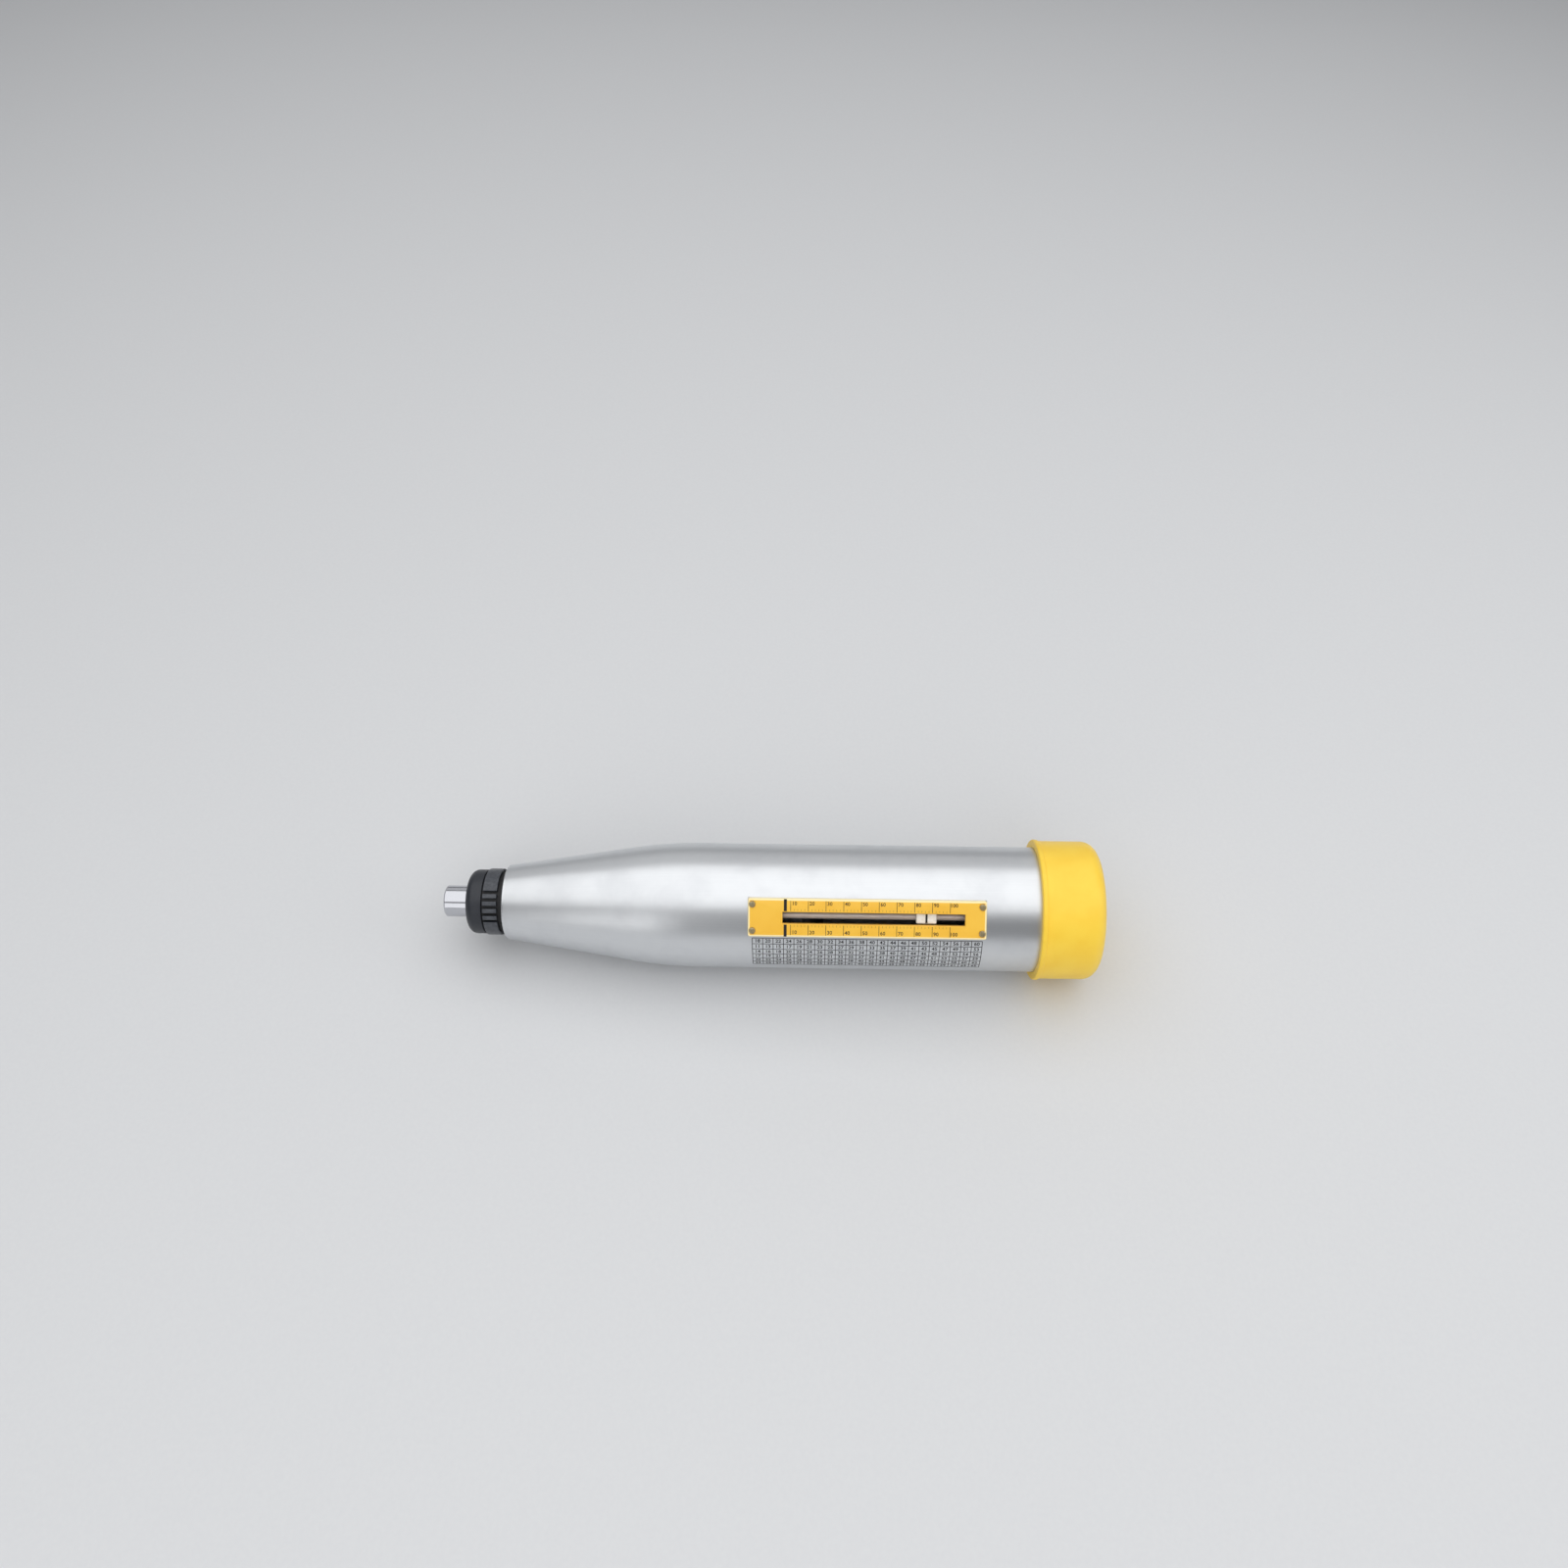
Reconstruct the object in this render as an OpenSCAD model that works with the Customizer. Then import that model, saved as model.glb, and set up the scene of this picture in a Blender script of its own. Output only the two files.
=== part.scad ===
// Rebound hammer for testing concrete: a spring-driven striker in an aluminium tube.
// Lengths are in millimetres. Stations along the axis count from the nose cap's front face.

/* [Tube] */
// Outer diameter of the straight tube
tube_d = 55; // [53:0.5:60]
// Wall of the tube and its cone
tube_wall = 4; // [3.5:0.1:4.5]
// Length of the straight tube behind the cone
tube_len = 174; // [172:1:185]
// Length of the cone
cone_len = 71; // [66:1:76]
// Diameter of the cone's small end
cone_d = 33; // [32:0.5:36]
// Length over which the cone runs out into the tube, each side of their corner
shoulder_run = 14; // [8:1:18]
// Turn of the scale side about the axis, from straight up towards the viewer
window_turn = 45; // [0:5:90]
// Distance from the nose face to the middle of the hand's grip, the origin
grip_x = 150; // [130:1:170]

/* [Nose] */
// Thickness of the nose cap's front wall
cap_wall = 2.2; // [1.8:0.1:3]
// Length of the smooth front of the nose cap
cap_front_len = 7.5; // [6.5:0.1:9]
// Wall of the nose cap over the tube's neck
cap_shell = 2.3; // [1.8:0.1:3]
// Rounding of the nose cap's front edge
cap_round = 3.5; // [1:0.1:5]
// Width of the groove in front of the grip ring
cap_groove_w = 0.7; // [0.4:0.1:1.2]
// Depth of that groove below the smooth front
cap_groove_deep = 0.8; // [0.3:0.1:1.2]
// How far the grip ring stands out from the smooth front
knurl_out = 0.5; // [0.2:0.1:1.5]
// Length of the grip ring
knurl_len = 6.3; // [5:0.1:8]
// How far the skirt behind the grip ring stands back from the smooth front
skirt_in = 0.9; // [0.3:0.1:1.4]
// Length of that skirt
skirt_len = 2.2; // [1.5:0.1:3]
// Groups of grip slots round the ring
knurl_groups = 3; // [2:1:4]
// Slots in one group
knurl_slots = 5; // [3:1:6]
// Angle between the slots of a group
knurl_step = 13; // [10:1:15]
// Width of a grip slot
knurl_slot_w = 1.4; // [0.8:0.1:1.8]
// Depth of a grip slot
knurl_slot_deep = 1.3; // [0.6:0.1:1.4]
// Wall of the tube's threaded neck round the guide sleeve
neck_wall = 1.8; // [1.4:0.1:2.4]
// Thickness of the felt washer
felt_t = 2; // [1.5:0.1:2.5]
// Thickness of the split ring
split_ring_t = 2.6; // [2:0.1:3]
// Wall of the guide sleeve's spigot round the plunger
spigot_wall = 1.4; // [1:0.1:1.8]
// Step from the spigot up to the sleeve's body
sleeve_step = 1.5; // [1:0.1:2]
// Length of the sleeve's collar in front of the split ring
sleeve_collar_len = 1.8; // [1.2:0.1:2.5]
// Depth of the sleeve's groove for the split ring
sleeve_groove_deep = 1.4; // [0.8:0.1:1.8]
// Length of the sleeve's spigot inside the striker spring
sleeve_spigot_len = 18; // [12:1:20]

/* [Plunger] */
// Diameter of the plunger and of its guide
plunger_d = 14; // [13:0.1:15]
// How far the pushed-in plunger stands out of the nose cap
plunger_out = 12; // [9:0.5:16]
// Radius of the plunger's domed tip
tip_round = 25; // [15:1:30]
// Depth of the plunger's rear bore
plunger_bore_len = 54.7; // [48:0.5:60]
// Length of the buffer spring in that bore
buffer_len = 15; // [12:0.5:18]
// Diameter of the guide bar
bar_d = 8; // [7:0.1:8.4]

/* [Striker] */
// Travel of the striker and of the plunger
stroke = 75; // [72:1:78]
// Room between the striker's mass and the tube's bore, for the rider's rod
striker_gap = 6.5; // [6.2:0.1:8]
// Length of the striker's mass
striker_mass_len = 39; // [36:0.5:42]
// Length of the striker's front boss
boss_len = 10; // [8:0.5:12]
// Length of the groove behind the mass, where the pawl hooks in
hook_groove_len = 5; // [4.5:0.1:6]
// Wall of the striker round the guide bar, at the bottom of that groove
hook_wall = 2.4; // [1.8:0.1:3]
// Depth of that groove below the collar
hook_deep = 2.5; // [2:0.1:3]
// Length of the collar behind the groove
collar_len = 4; // [3:0.1:5]

/* [Carriage] */
// Thickness of the guide disc
disc_t = 9; // [8:0.1:10]
// Depth of the disc's rear recess for the return spring
disc_recess = 4; // [3:0.1:4.5]
// Diameter of that recess
disc_recess_d = 31; // [30.4:0.1:34]
// Distance from the disc to the tube's rear end, pushed in
disc_back = 11; // [9:0.5:13]
// Height of the pawl's pivot over its bar
pivot_up = 2.5; // [2:0.1:3]
// Diameter of the pawl's pin
pawl_pin_d = 3; // [2.6:0.1:3.2]
// Thickness of the pawl
pawl_t = 4.6; // [4:0.1:5]
// Width of the pawl's bar, seen from its side
pawl_bar_w = 2.4; // [2:0.1:2.6]
// Opening angle of the pawl
pawl_open = 13; // [11:1:14]

/* [Tail] */
// Wall of the tail cap's skirt over the tube
tail_skirt_wall = 2.85; // [2:0.05:4]
// How far the tail cap's front lip stands out
lip_out = 0.6; // [0.3:0.1:2]
// Length of the tail cap's front lip
lip_len = 2.2; // [1.5:0.1:3]
// Length of the skirt that screws over the tube
tail_skirt_len = 11.8; // [10:0.1:14]
// Depth of the spring chamber behind the tube's end
chamber_len = 7; // [5:0.1:9]
// Thickness of the tail cap's end wall
tail_wall = 9; // [8.5:0.1:12]
// Rounding of the tail cap's rear edge
tail_round = 6.5; // [3:0.1:8]
// Diameter of the trip screw
trip_d = 4; // [3.6:0.1:4.4]
// Depth of the recess for its lock nut
nut_recess = 5; // [4:0.1:5.5]
// Thickness of the lock nut
nut_t = 2.8; // [2:0.1:3]

/* [Scale] */
// Distance of the rider's index in front of the face that the striker pushes
index_lead = 7.4; // [7:0.1:9]
// Reading at which the rider stands, in hundredths of the stroke
reading = 80; // [20:1:95]
// Width of the scale plate
plate_w = 16.4; // [15.6:0.1:16.8]
// Thickness of the scale plate
plate_t = 2.25; // [1.5:0.05:3]
// Length of the plate in front of the zero mark
plate_lead = 15.9; // [15.5:0.1:18]
// Length of the plate behind the full mark
plate_tail = 10.2; // [10:0.1:12]
// Corner rounding of the plate
plate_round = 0.8; // [0.4:0.1:1.5]
// Depth of the plate's flat seat below the tube's surface
seat_depth = 1.3; // [1:0.05:1.5]
// Width of the reading slot
slot_w = 5; // [4.8:0.1:5.6]
// Run of the reading slot past the zero and full marks
slot_over = 1.2; // [0.8:0.1:1.4]
// Distance of the plate's screws from its ends
screw_inset = 1.8; // [1.6:0.1:2.2]
// Distance between the two screws at one end
screw_pitch = 11.4; // [10.8:0.1:12]
// Diameter of a plate screw
screw_d = 2; // [1.6:0.1:2.2]
// Length of the rider
rider_len = 8.6; // [7.5:0.1:9]
// Width of the rider
rider_w = 4.4; // [4:0.1:4.6]
// Width of the index groove across the rider's top
index_w = 0.9; // [0.6:0.1:1.2]
// Depth of that groove
index_deep = 0.6; // [0.3:0.1:0.9]
// Diameter of the rider's rod
rider_rod_d = 3; // [2.6:0.1:3.2]
// Depth of the rider's rod below the tube's bore, to its middle
rider_rod_in = 2.1; // [1.9:0.05:2.3]

/* [Button] */
// Travel of the push button
button_travel = 2.5; // [2:0.1:2.6]
// Diameter of the push button's head
button_d = 8.4; // [7.6:0.1:9]
// Diameter of the push button's stem
stem_d = 5; // [4.4:0.1:5.4]
// Height of the bush over the tube
bush_out = 3.9; // [3.8:0.1:5]
// Wall of the bush round the button's flange
bush_wall = 0.8; // [0.6:0.1:1.5]
// How far the button's flange stands out from its head
flange_out = 0.9; // [0.6:0.1:1.4]

/* [Hidden] */
$fn = 96;

// Clearances, and the overrun of every cut
overrun = 1;
slide_gap = 0.1;
seat_gap = 0.3;
pin_gap = 0.05;
bore_gap = 0.2;
path_gap = 0.4;

// Diameters that fit round the plunger, from the inside out
boss_d = plunger_d + 2 * (slide_gap + spigot_wall);
sleeve_d = boss_d + 2 * sleeve_step;
sleeve_groove_d = sleeve_d - 2 * sleeve_groove_deep;
neck_d = sleeve_d + 2 * (slide_gap + neck_wall);
cap_front_d = neck_d + 2 * (slide_gap + cap_shell);
knurl_d = cap_front_d + 2 * knurl_out;
skirt_d = cap_front_d - 2 * skirt_in;

// Nose stations, from the front wall back to the tube's front edge
knurl_x = cap_front_len + cap_groove_w;
skirt_x = knurl_x + knurl_len;
cap_len = skirt_x + skirt_len;
cone_x = cap_len + seat_gap;
sleeve_x = cap_wall + felt_t + bore_gap;
split_ring_x = sleeve_x + sleeve_collar_len;
neck_x = split_ring_x + split_ring_t;
neck_lip_in = 5;
neck_lip_end = cone_x + neck_lip_in;
sleeve_end = neck_lip_end + sleeve_spigot_len;
split_ring_saw = 0.6;

// Tube stations and radii
tube_x = cone_x + cone_len;
tube_end = tube_x + tube_len;
bore_r = tube_d / 2 - tube_wall;
cone_angle = atan((tube_d - cone_d) / 2 / cone_len);
edge_chamfer = 0.6;

// Disc and pivot stations, pushed in, from the tube's rear end forwards
lug_gap = 1.6;
lug_r = 3.4;
lug_t = 2.3;
boss_gap = 0.8;
pawl_boss_r = 3.2;
disc_end = tube_end - disc_back;
disc_x = disc_end - disc_t;
disc_seat_x = disc_end - disc_recess;
disc_r = bore_r - bore_gap;
pivot_x = disc_x - boss_gap - pawl_boss_r;
thread_d = 6;
bar_nut_t = 3;
bar_nut_flats = 8;

// Striker stations and diameters, at its front place
striker_end = pivot_x - lug_r - lug_gap - stroke;
collar_x = striker_end - collar_len;
mass_end = collar_x - hook_groove_len;
mass_x = mass_end - striker_mass_len;
strike_x = mass_x - boss_len;
striker_d = 2 * (bore_r - striker_gap);
hook_groove_d = bar_d + 2 * (slide_gap + hook_wall);
collar_d = hook_groove_d + 2 * hook_deep;

// Plunger and bar stations, pushed in
plunger_end = strike_x - seat_gap;
plunger_bore_x = plunger_end - plunger_bore_len;
bar_x = plunger_bore_x + buffer_len;

// Return spring in the disc's recess
return_wire = 1.6;
return_turns = 9;
return_r = disc_recess_d / 2 - path_gap - return_wire;

// Pawl, hooked: an arm with a tooth, a pivot boss, an ear for its spring and a tail inside the return spring
tooth_len = 3;
tooth_gap = 0.5;
tooth_end = collar_x + stroke - tooth_gap;
tooth_x = tooth_end - tooth_len;
tooth_y = hook_groove_d / 2 + tooth_gap;
pawl_bar_y = collar_d / 2 + seat_gap * 2;
pivot_y = pawl_bar_y + pawl_bar_w + pivot_up;
trip_y = return_r - return_wire / 2 - path_gap - trip_d / 2;
pawl_tail_y = trip_y - pawl_bar_w / 2;
pawl_hub_y = min(pawl_bar_y, pawl_tail_y);
pawl_tail_out = 1.5;
pawl_tail_x = disc_end + pawl_tail_out;
ear_len = 4;
ear_up = 6;
ear_x = pivot_x - ear_len / 2;
tail_sweep = (pawl_tail_x - pivot_x) * sin(pawl_open);
pawl_slot_low = pawl_tail_y - tail_sweep - path_gap;
pawl_slot_high = pawl_tail_y + pawl_bar_w + path_gap;

// Tail stations and diameters
tail_d = tube_d + 2 * (pin_gap + tail_skirt_wall);
lip_d = tail_d + 2 * lip_out;
chamber_gap = 5;
tail_x = tube_end - tail_skirt_len;
chamber_end = tube_end + chamber_len;
tail_end = chamber_end + tail_wall;
chamber_d = 2 * (return_r + return_wire / 2 + chamber_gap);
trip_x = pawl_tail_x + seat_gap;
nut_x = tail_end - nut_recess;
nut_flats = 7;
nut_recess_d = 11;
trip_slot = 0.8;

// Scale stations and rider heights above the axis
seat_z = tube_d / 2 - seat_depth;
rider_rod_z = bore_r - rider_rod_in;
zero_x = mass_end - index_lead;
plate_x = zero_x - plate_lead;
plate_len = plate_lead + stroke + plate_tail;
plate_end = plate_x + plate_len;
index_x = zero_x + stroke * reading / 100;
rider_x = index_x - rider_len / 2;
block_front_end = zero_x - rider_len / 2 - slot_over;
block_rear_x = zero_x + stroke + rider_len / 2 + slot_over;
block_w = screw_pitch + 2 * screw_d;
block_under = 1.3;
block_z = rider_rod_z - rider_rod_d / 2 - block_under;
wall_slot_w = slot_w + 2 * path_gap + slot_over;
rider_z = block_z - seat_gap;
rider_top = seat_z - seat_gap;
leaf_t = 0.5;
leaf_w = 3.2;
leaf_tip_z = striker_d / 2 + path_gap;
disc_flat_z = leaf_tip_z - seat_gap;
screw_head_d = 3;
screw_head_t = 0.6;
screw_slot = 0.5;

// Button stations, outwards from the axis on the side away from the scale
button_x = disc_x - path_gap - stem_d / 2;
bush_in = bore_r + slide_gap;
bush_floor = 1.5;
bush_top = tube_d / 2 + bush_out;
bush_mouth_t = 0.6;
button_flange = 1.1;
flange_d = button_d + 2 * flange_out;
bush_d = flange_d + 2 * (slide_gap + bush_wall);
flange_top = bush_top - bush_mouth_t - slide_gap;
flange_low = flange_top - button_flange;
button_top = bush_top + button_travel + seat_gap;
button_round = 0.8;

// Wound springs: turns, wire, mean radius and the stations of their wire's ends
ring_count = 12;
side_count = 6;
impact_wire = 1.8;
impact_turns = 28;
impact_r = boss_d / 2 + path_gap + impact_wire / 2;
buffer_wire = 1;
buffer_turns = 6;
buffer_r = bar_d / 2 - buffer_wire / 2 - bore_gap;
pawl_wire = 0.6;
pawl_turns = 4;
pawl_spring_r = 1.2;
pawl_spring_y = pivot_y + ear_up - pawl_spring_r - pawl_wire;
pawl_pocket = 5;
pawl_pocket_r = pawl_spring_r + pawl_wire / 2 + path_gap;
button_wire = 0.5;
button_turns = 3;
button_spring_r = stem_d / 2 + path_gap + button_wire / 2;

// Turns the hammer's own axis frame into the part's frame
module placed()
    translate([-grip_x, 0, 0])
        rotate([window_turn, 0, 0])
            children();

// A profile of [station, radius] points turned about the axis
module lathe(profile)
    rotate([0, 90, 0])
        rotate_extrude()
            polygon([for (p = profile) [p[1], p[0]]]);

module ring(from, to, outer_r, inner_r)
    lathe([[from, inner_r], [to, inner_r], [to, outer_r], [from, outer_r]]);

module rod(from, to, r)
    translate([from, 0, 0])
        rotate([0, 90, 0])
            cylinder(h = to - from, r = r);

// A hexagon nut across its flats, along the axis, with its hole
module hex_nut(from, thick, flats, hole_r)
    translate([from, 0, 0])
        rotate([0, 90, 0])
            difference() {
                cylinder(h = thick, d = flats / cos(30), $fn = 6);
                translate([0, 0, -overrun])
                    cylinder(h = thick + 2 * overrun, r = hole_r);
            }

// The four plate screws' places
module at_screws()
    for (x = [plate_x + screw_inset, plate_end - screw_inset], side = [-1, 1])
        translate([x, side * screw_pitch / 2, 0])
            children();

// The middle line of a spring's wire from one station to another, with its straight runs' middles on the
// mean radius, and the wire round it
function coil_line(turns, r, from, to) =
    [for (i = [0 : turns * ring_count])
        let (a = 360 * i / ring_count, corner_r = r / cos(180 / ring_count))
            [from + (to - from) * i / (turns * ring_count), corner_r * cos(a), corner_r * sin(a)]];

function coil_gap(line, wire) =
    min([for (i = [0 : len(line) - ring_count - 2], j = [ring_count - 1 : ring_count + 1])
        norm(line[i + j] - line[i])]) - wire;

module coil(name, turns, r, from, to, wire) {
    line = coil_line(turns, r, from, to);
    lead = (to - from) / (turns * 360) * 180 / PI;
    points = [for (i = [0 : len(line) - 1], s = [0 : side_count - 1])
        let (a = 360 * i / ring_count, b = 360 * s / side_count)
        let (out = [0, cos(a), sin(a)], along = [r, lead * sin(a), -lead * cos(a)] / norm([r, lead]))
            line[i] + wire / 2 * (cos(b) * out + sin(b) * along)];
    last = (len(line) - 1) * side_count;
    sides = [for (i = [0 : len(line) - 2], s = [0 : side_count - 1])
        let (p = i * side_count + s, q = i * side_count + (s + 1) % side_count)
            each [[p, q, q + side_count], [p, q + side_count, p + side_count]]];
    ends = [for (s = [1 : side_count - 2])
        each [[0, s + 1, s], [last, last + s, last + s + 1]]];
    echo(str(name, " least gap between turns ", coil_gap(line, wire)));
    polyhedron(points = points, faces = concat(sides, ends));
}

// Tube with its cone, threaded neck, flat for the scale plate and hole for the button
module housing()
    color("silver")
        placed()
            difference() {
                lathe(concat([[neck_x, sleeve_d / 2 + slide_gap], [neck_x, neck_d / 2], [cone_x, neck_d / 2]],
                    [[cone_x, cone_d / 2]], shoulder_arc(), [[tube_end, tube_d / 2], [tube_end, bore_r]],
                    [[tube_x, bore_r], [neck_lip_end, cone_r(neck_lip_end) - tube_wall]],
                    [[neck_lip_end, sleeve_d / 2 + slide_gap]]));
                translate([plate_x - slide_gap, -tube_d / 2, seat_z])
                    cube([plate_len + 2 * slide_gap, tube_d, tube_d]);
                translate([block_front_end, -wall_slot_w / 2, 0])
                    cube([block_rear_x - block_front_end, wall_slot_w, tube_d]);
                at_screws()
                    cylinder(h = tube_d, d = screw_d + 2 * pin_gap);
                translate([button_x, 0, 0])
                    mirror([0, 0, 1])
                        cylinder(h = tube_d, d = bush_d + 2 * pin_gap);
            }

// Radius of the cone at a station, and the arc that blends it into the tube
function cone_r(x) = cone_d / 2 + (x - cone_x) * tan(cone_angle);

function shoulder_arc() =
    let (r = shoulder_run / tan(cone_angle / 2), steps = 8)
        [for (i = [0 : steps])
            let (a = cone_angle * (1 - i / steps))
                [tube_x + shoulder_run - r * sin(a), tube_d / 2 - r * (1 - cos(a))]];

// Screw-on nose cap with a rounded front and a grip ring
module nose_cap()
    color("dimgray")
        placed()
            difference() {
                union() {
                    rod(0, cap_front_len, cap_front_d / 2 - cap_round);
                    rod(cap_round, cap_front_len, cap_front_d / 2);
                    rotate([0, 90, 0])
                        translate([0, 0, cap_round])
                            rotate_extrude()
                                translate([cap_front_d / 2 - cap_round, 0])
                                    circle(r = cap_round);
                    rod(cap_front_len, cap_len, min(skirt_d, cap_front_d - 2 * cap_groove_deep) / 2);
                    rod(knurl_x, skirt_x, knurl_d / 2);
                }
                rod(-overrun, cap_wall + overrun, plunger_d / 2 + path_gap);
                rod(cap_wall, cap_len + overrun, neck_d / 2 + slide_gap);
                for (group = [0 : knurl_groups - 1], slot = [0 : knurl_slots - 1])
                    rotate([group * 360 / knurl_groups + (slot - (knurl_slots - 1) / 2) * knurl_step, 0, 0])
                        translate([knurl_x - cap_groove_w / 2, -knurl_slot_w / 2, knurl_d / 2 - knurl_slot_deep])
                            cube([knurl_len + cap_groove_w, knurl_slot_w, knurl_slot_deep + overrun]);
            }

// Felt washer that keeps dust off the plunger
module felt_washer()
    color("gray")
        placed()
            ring(cap_wall, cap_wall + felt_t, neck_d / 2 - slide_gap, plunger_d / 2 + bore_gap);

// Ring in two halves that holds the sleeve against the pull of the striker's spring
module split_ring()
    color("darkgray")
        placed()
            difference() {
                ring(split_ring_x + slide_gap, neck_x, neck_d / 2 - slide_gap, sleeve_groove_d / 2 + slide_gap);
                translate([0, -tube_d / 2, -split_ring_saw / 2])
                    cube([neck_x + overrun, tube_d, split_ring_saw]);
            }

// Sleeve that guides the plunger and carries the front end of the striker's spring
module guide_sleeve()
    color("lightsteelblue")
        placed()
            difference() {
                union() {
                    rod(sleeve_x, neck_lip_end, sleeve_d / 2);
                    rod(neck_lip_end, sleeve_end, boss_d / 2);
                }
                rod(sleeve_x - overrun, sleeve_end + overrun, plunger_d / 2 + slide_gap);
                ring(split_ring_x, neck_x, sleeve_d / 2 + overrun, sleeve_groove_d / 2);
            }

// Plunger with a domed tip and a blind rear bore
module plunger()
    color("gainsboro")
        placed()
            difference() {
                intersection() {
                    rod(-plunger_out, plunger_end, plunger_d / 2);
                    union() {
                        translate([tip_round - plunger_out, 0, 0])
                            sphere(r = tip_round);
                        rod(tip_round - plunger_out, plunger_end, plunger_d);
                    }
                }
                rod(plunger_bore_x, plunger_end + overrun, bar_d / 2 + slide_gap);
            }

// Spring between the plunger's bore and the guide bar
module buffer_spring()
    color("slategray")
        placed()
            coil("buffer spring", buffer_turns, buffer_r, plunger_bore_x + buffer_wire, bar_x - buffer_wire,
                buffer_wire);

// Bar on which the striker flies, threaded into the disc
module guide_bar()
    color("lightgray")
        placed() {
            rod(bar_x, disc_x, bar_d / 2);
            rod(disc_x, disc_end, thread_d / 2);
        }

// Striker: mass, front boss for its spring, and rear groove for the pawl
module striker()
    color("lightslategray")
        placed()
            difference() {
                lathe([[strike_x, 0], [strike_x, boss_d / 2 - edge_chamfer], [strike_x + edge_chamfer, boss_d / 2],
                    [mass_x, boss_d / 2], [mass_x, striker_d / 2 - edge_chamfer],
                    [mass_x + edge_chamfer, striker_d / 2], [mass_end - edge_chamfer, striker_d / 2],
                    [mass_end, striker_d / 2 - edge_chamfer], [mass_end, hook_groove_d / 2],
                    [collar_x, hook_groove_d / 2], [collar_x, collar_d / 2],
                    [striker_end - edge_chamfer, collar_d / 2], [striker_end, collar_d / 2 - edge_chamfer],
                    [striker_end, 0]]);
                rod(strike_x - overrun, striker_end + overrun, bar_d / 2 + slide_gap);
            }

// Spring that drives the striker, from the sleeve to the mass
module impact_spring()
    color("slategray")
        placed()
            coil("impact spring", impact_turns, impact_r, neck_lip_end + impact_wire, mass_x - impact_wire,
                impact_wire);

// Disc that guides the bar's rear end, with two lugs for the pawl
module guide_disc()
    color("lightsteelblue")
        placed()
            difference() {
                union() {
                    rod(disc_x, disc_end, disc_r);
                    for (side = [-1, 1])
                        translate([pivot_x, pivot_y, side * (pawl_t / 2 + bore_gap + lug_t / 2)]) {
                            cylinder(h = lug_t, r = lug_r, center = true);
                            translate([0, -lug_r, -lug_t / 2])
                                cube([disc_x - pivot_x + overrun, 2 * lug_r, lug_t]);
                        }
                }
                rod(disc_x - overrun, disc_end + overrun, thread_d / 2 + pin_gap);
                rod(disc_seat_x, disc_end + overrun, disc_recess_d / 2);
                translate([disc_x - overrun, -disc_r, disc_flat_z])
                    cube([disc_t + 2 * overrun, 2 * disc_r, disc_r]);
                translate([disc_x - overrun, pawl_slot_low, -pawl_t / 2 - path_gap])
                    cube([disc_t + 2 * overrun, pawl_slot_high - pawl_slot_low, pawl_t + 2 * path_gap]);
                translate([0, pawl_spring_y, 0])
                    rod(disc_x - overrun, disc_x + pawl_pocket, pawl_pocket_r);
                translate([pivot_x, pivot_y, 0])
                    cylinder(h = tube_d, d = pawl_pin_d + 2 * pin_gap, center = true);
            }

// Nut that locks the guide bar in the disc
module bar_nut()
    color("darkgray")
        placed()
            hex_nut(disc_seat_x, bar_nut_t, bar_nut_flats, thread_d / 2 + pin_gap);

// Pawl that hooks the striker and lets go when its tail meets the trip screw
module pawl()
    color("dimgray")
        placed()
            translate([0, 0, -pawl_t / 2])
                linear_extrude(height = pawl_t)
                    difference() {
                        union() {
                            translate([tooth_x, pawl_bar_y])
                                square([pivot_x - tooth_x, pawl_bar_w]);
                            translate([pivot_x, pawl_tail_y])
                                square([pawl_tail_x - pivot_x, pawl_bar_w]);
                            translate([pivot_x - pawl_boss_r, pawl_hub_y])
                                square([2 * pawl_boss_r, pivot_y - pawl_hub_y]);
                            translate([tooth_x, tooth_y])
                                square([tooth_len, pawl_bar_y + pawl_bar_w - tooth_y]);
                            translate([pivot_x, pivot_y])
                                circle(r = pawl_boss_r);
                            translate([ear_x, pivot_y])
                                square([ear_len, ear_up]);
                        }
                        translate([pivot_x, pivot_y])
                            circle(d = pawl_pin_d + 2 * pin_gap);
                    }

// Pin through the two lugs, on which the pawl turns
module pawl_pin()
    color("silver")
        placed()
            translate([pivot_x, pivot_y, 0])
                cylinder(h = pawl_t + 2 * (bore_gap + lug_t), d = pawl_pin_d, center = true);

// Spring in the disc that presses the pawl into its hook
module pawl_spring()
    color("slategray")
        placed()
            translate([0, pawl_spring_y, 0])
                coil("pawl spring", pawl_turns, pawl_spring_r, ear_x + ear_len + pawl_wire,
                    disc_x + pawl_pocket - pawl_wire, pawl_wire);

// Spring that pushes the plunger out again, from the tail cap to the disc
module return_spring()
    color("slategray")
        placed()
            coil("return spring", return_turns, return_r, disc_seat_x + return_wire, chamber_end - return_wire,
                return_wire);

// Screw-on tail cap: lip, skirt over the tube, spring chamber and end wall
module tail_cap()
    color("gold")
        placed()
            difference() {
                union() {
                    rod(tail_x, tail_x + lip_len, lip_d / 2);
                    rod(tail_x, tail_end - tail_round, tail_d / 2);
                    rod(tail_x, tail_end, tail_d / 2 - tail_round);
                    rotate([0, 90, 0])
                        translate([0, 0, tail_end - tail_round])
                            rotate_extrude()
                                translate([tail_d / 2 - tail_round, 0])
                                    circle(r = tail_round);
                }
                rod(tail_x - overrun, tube_end, tube_d / 2 + pin_gap);
                rod(tube_end - overrun, chamber_end, chamber_d / 2);
                translate([0, trip_y, 0]) {
                    rod(chamber_end - overrun, tail_end + overrun, trip_d / 2 + pin_gap);
                    rod(nut_x, tail_end + overrun, nut_recess_d / 2);
                }
            }

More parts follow.
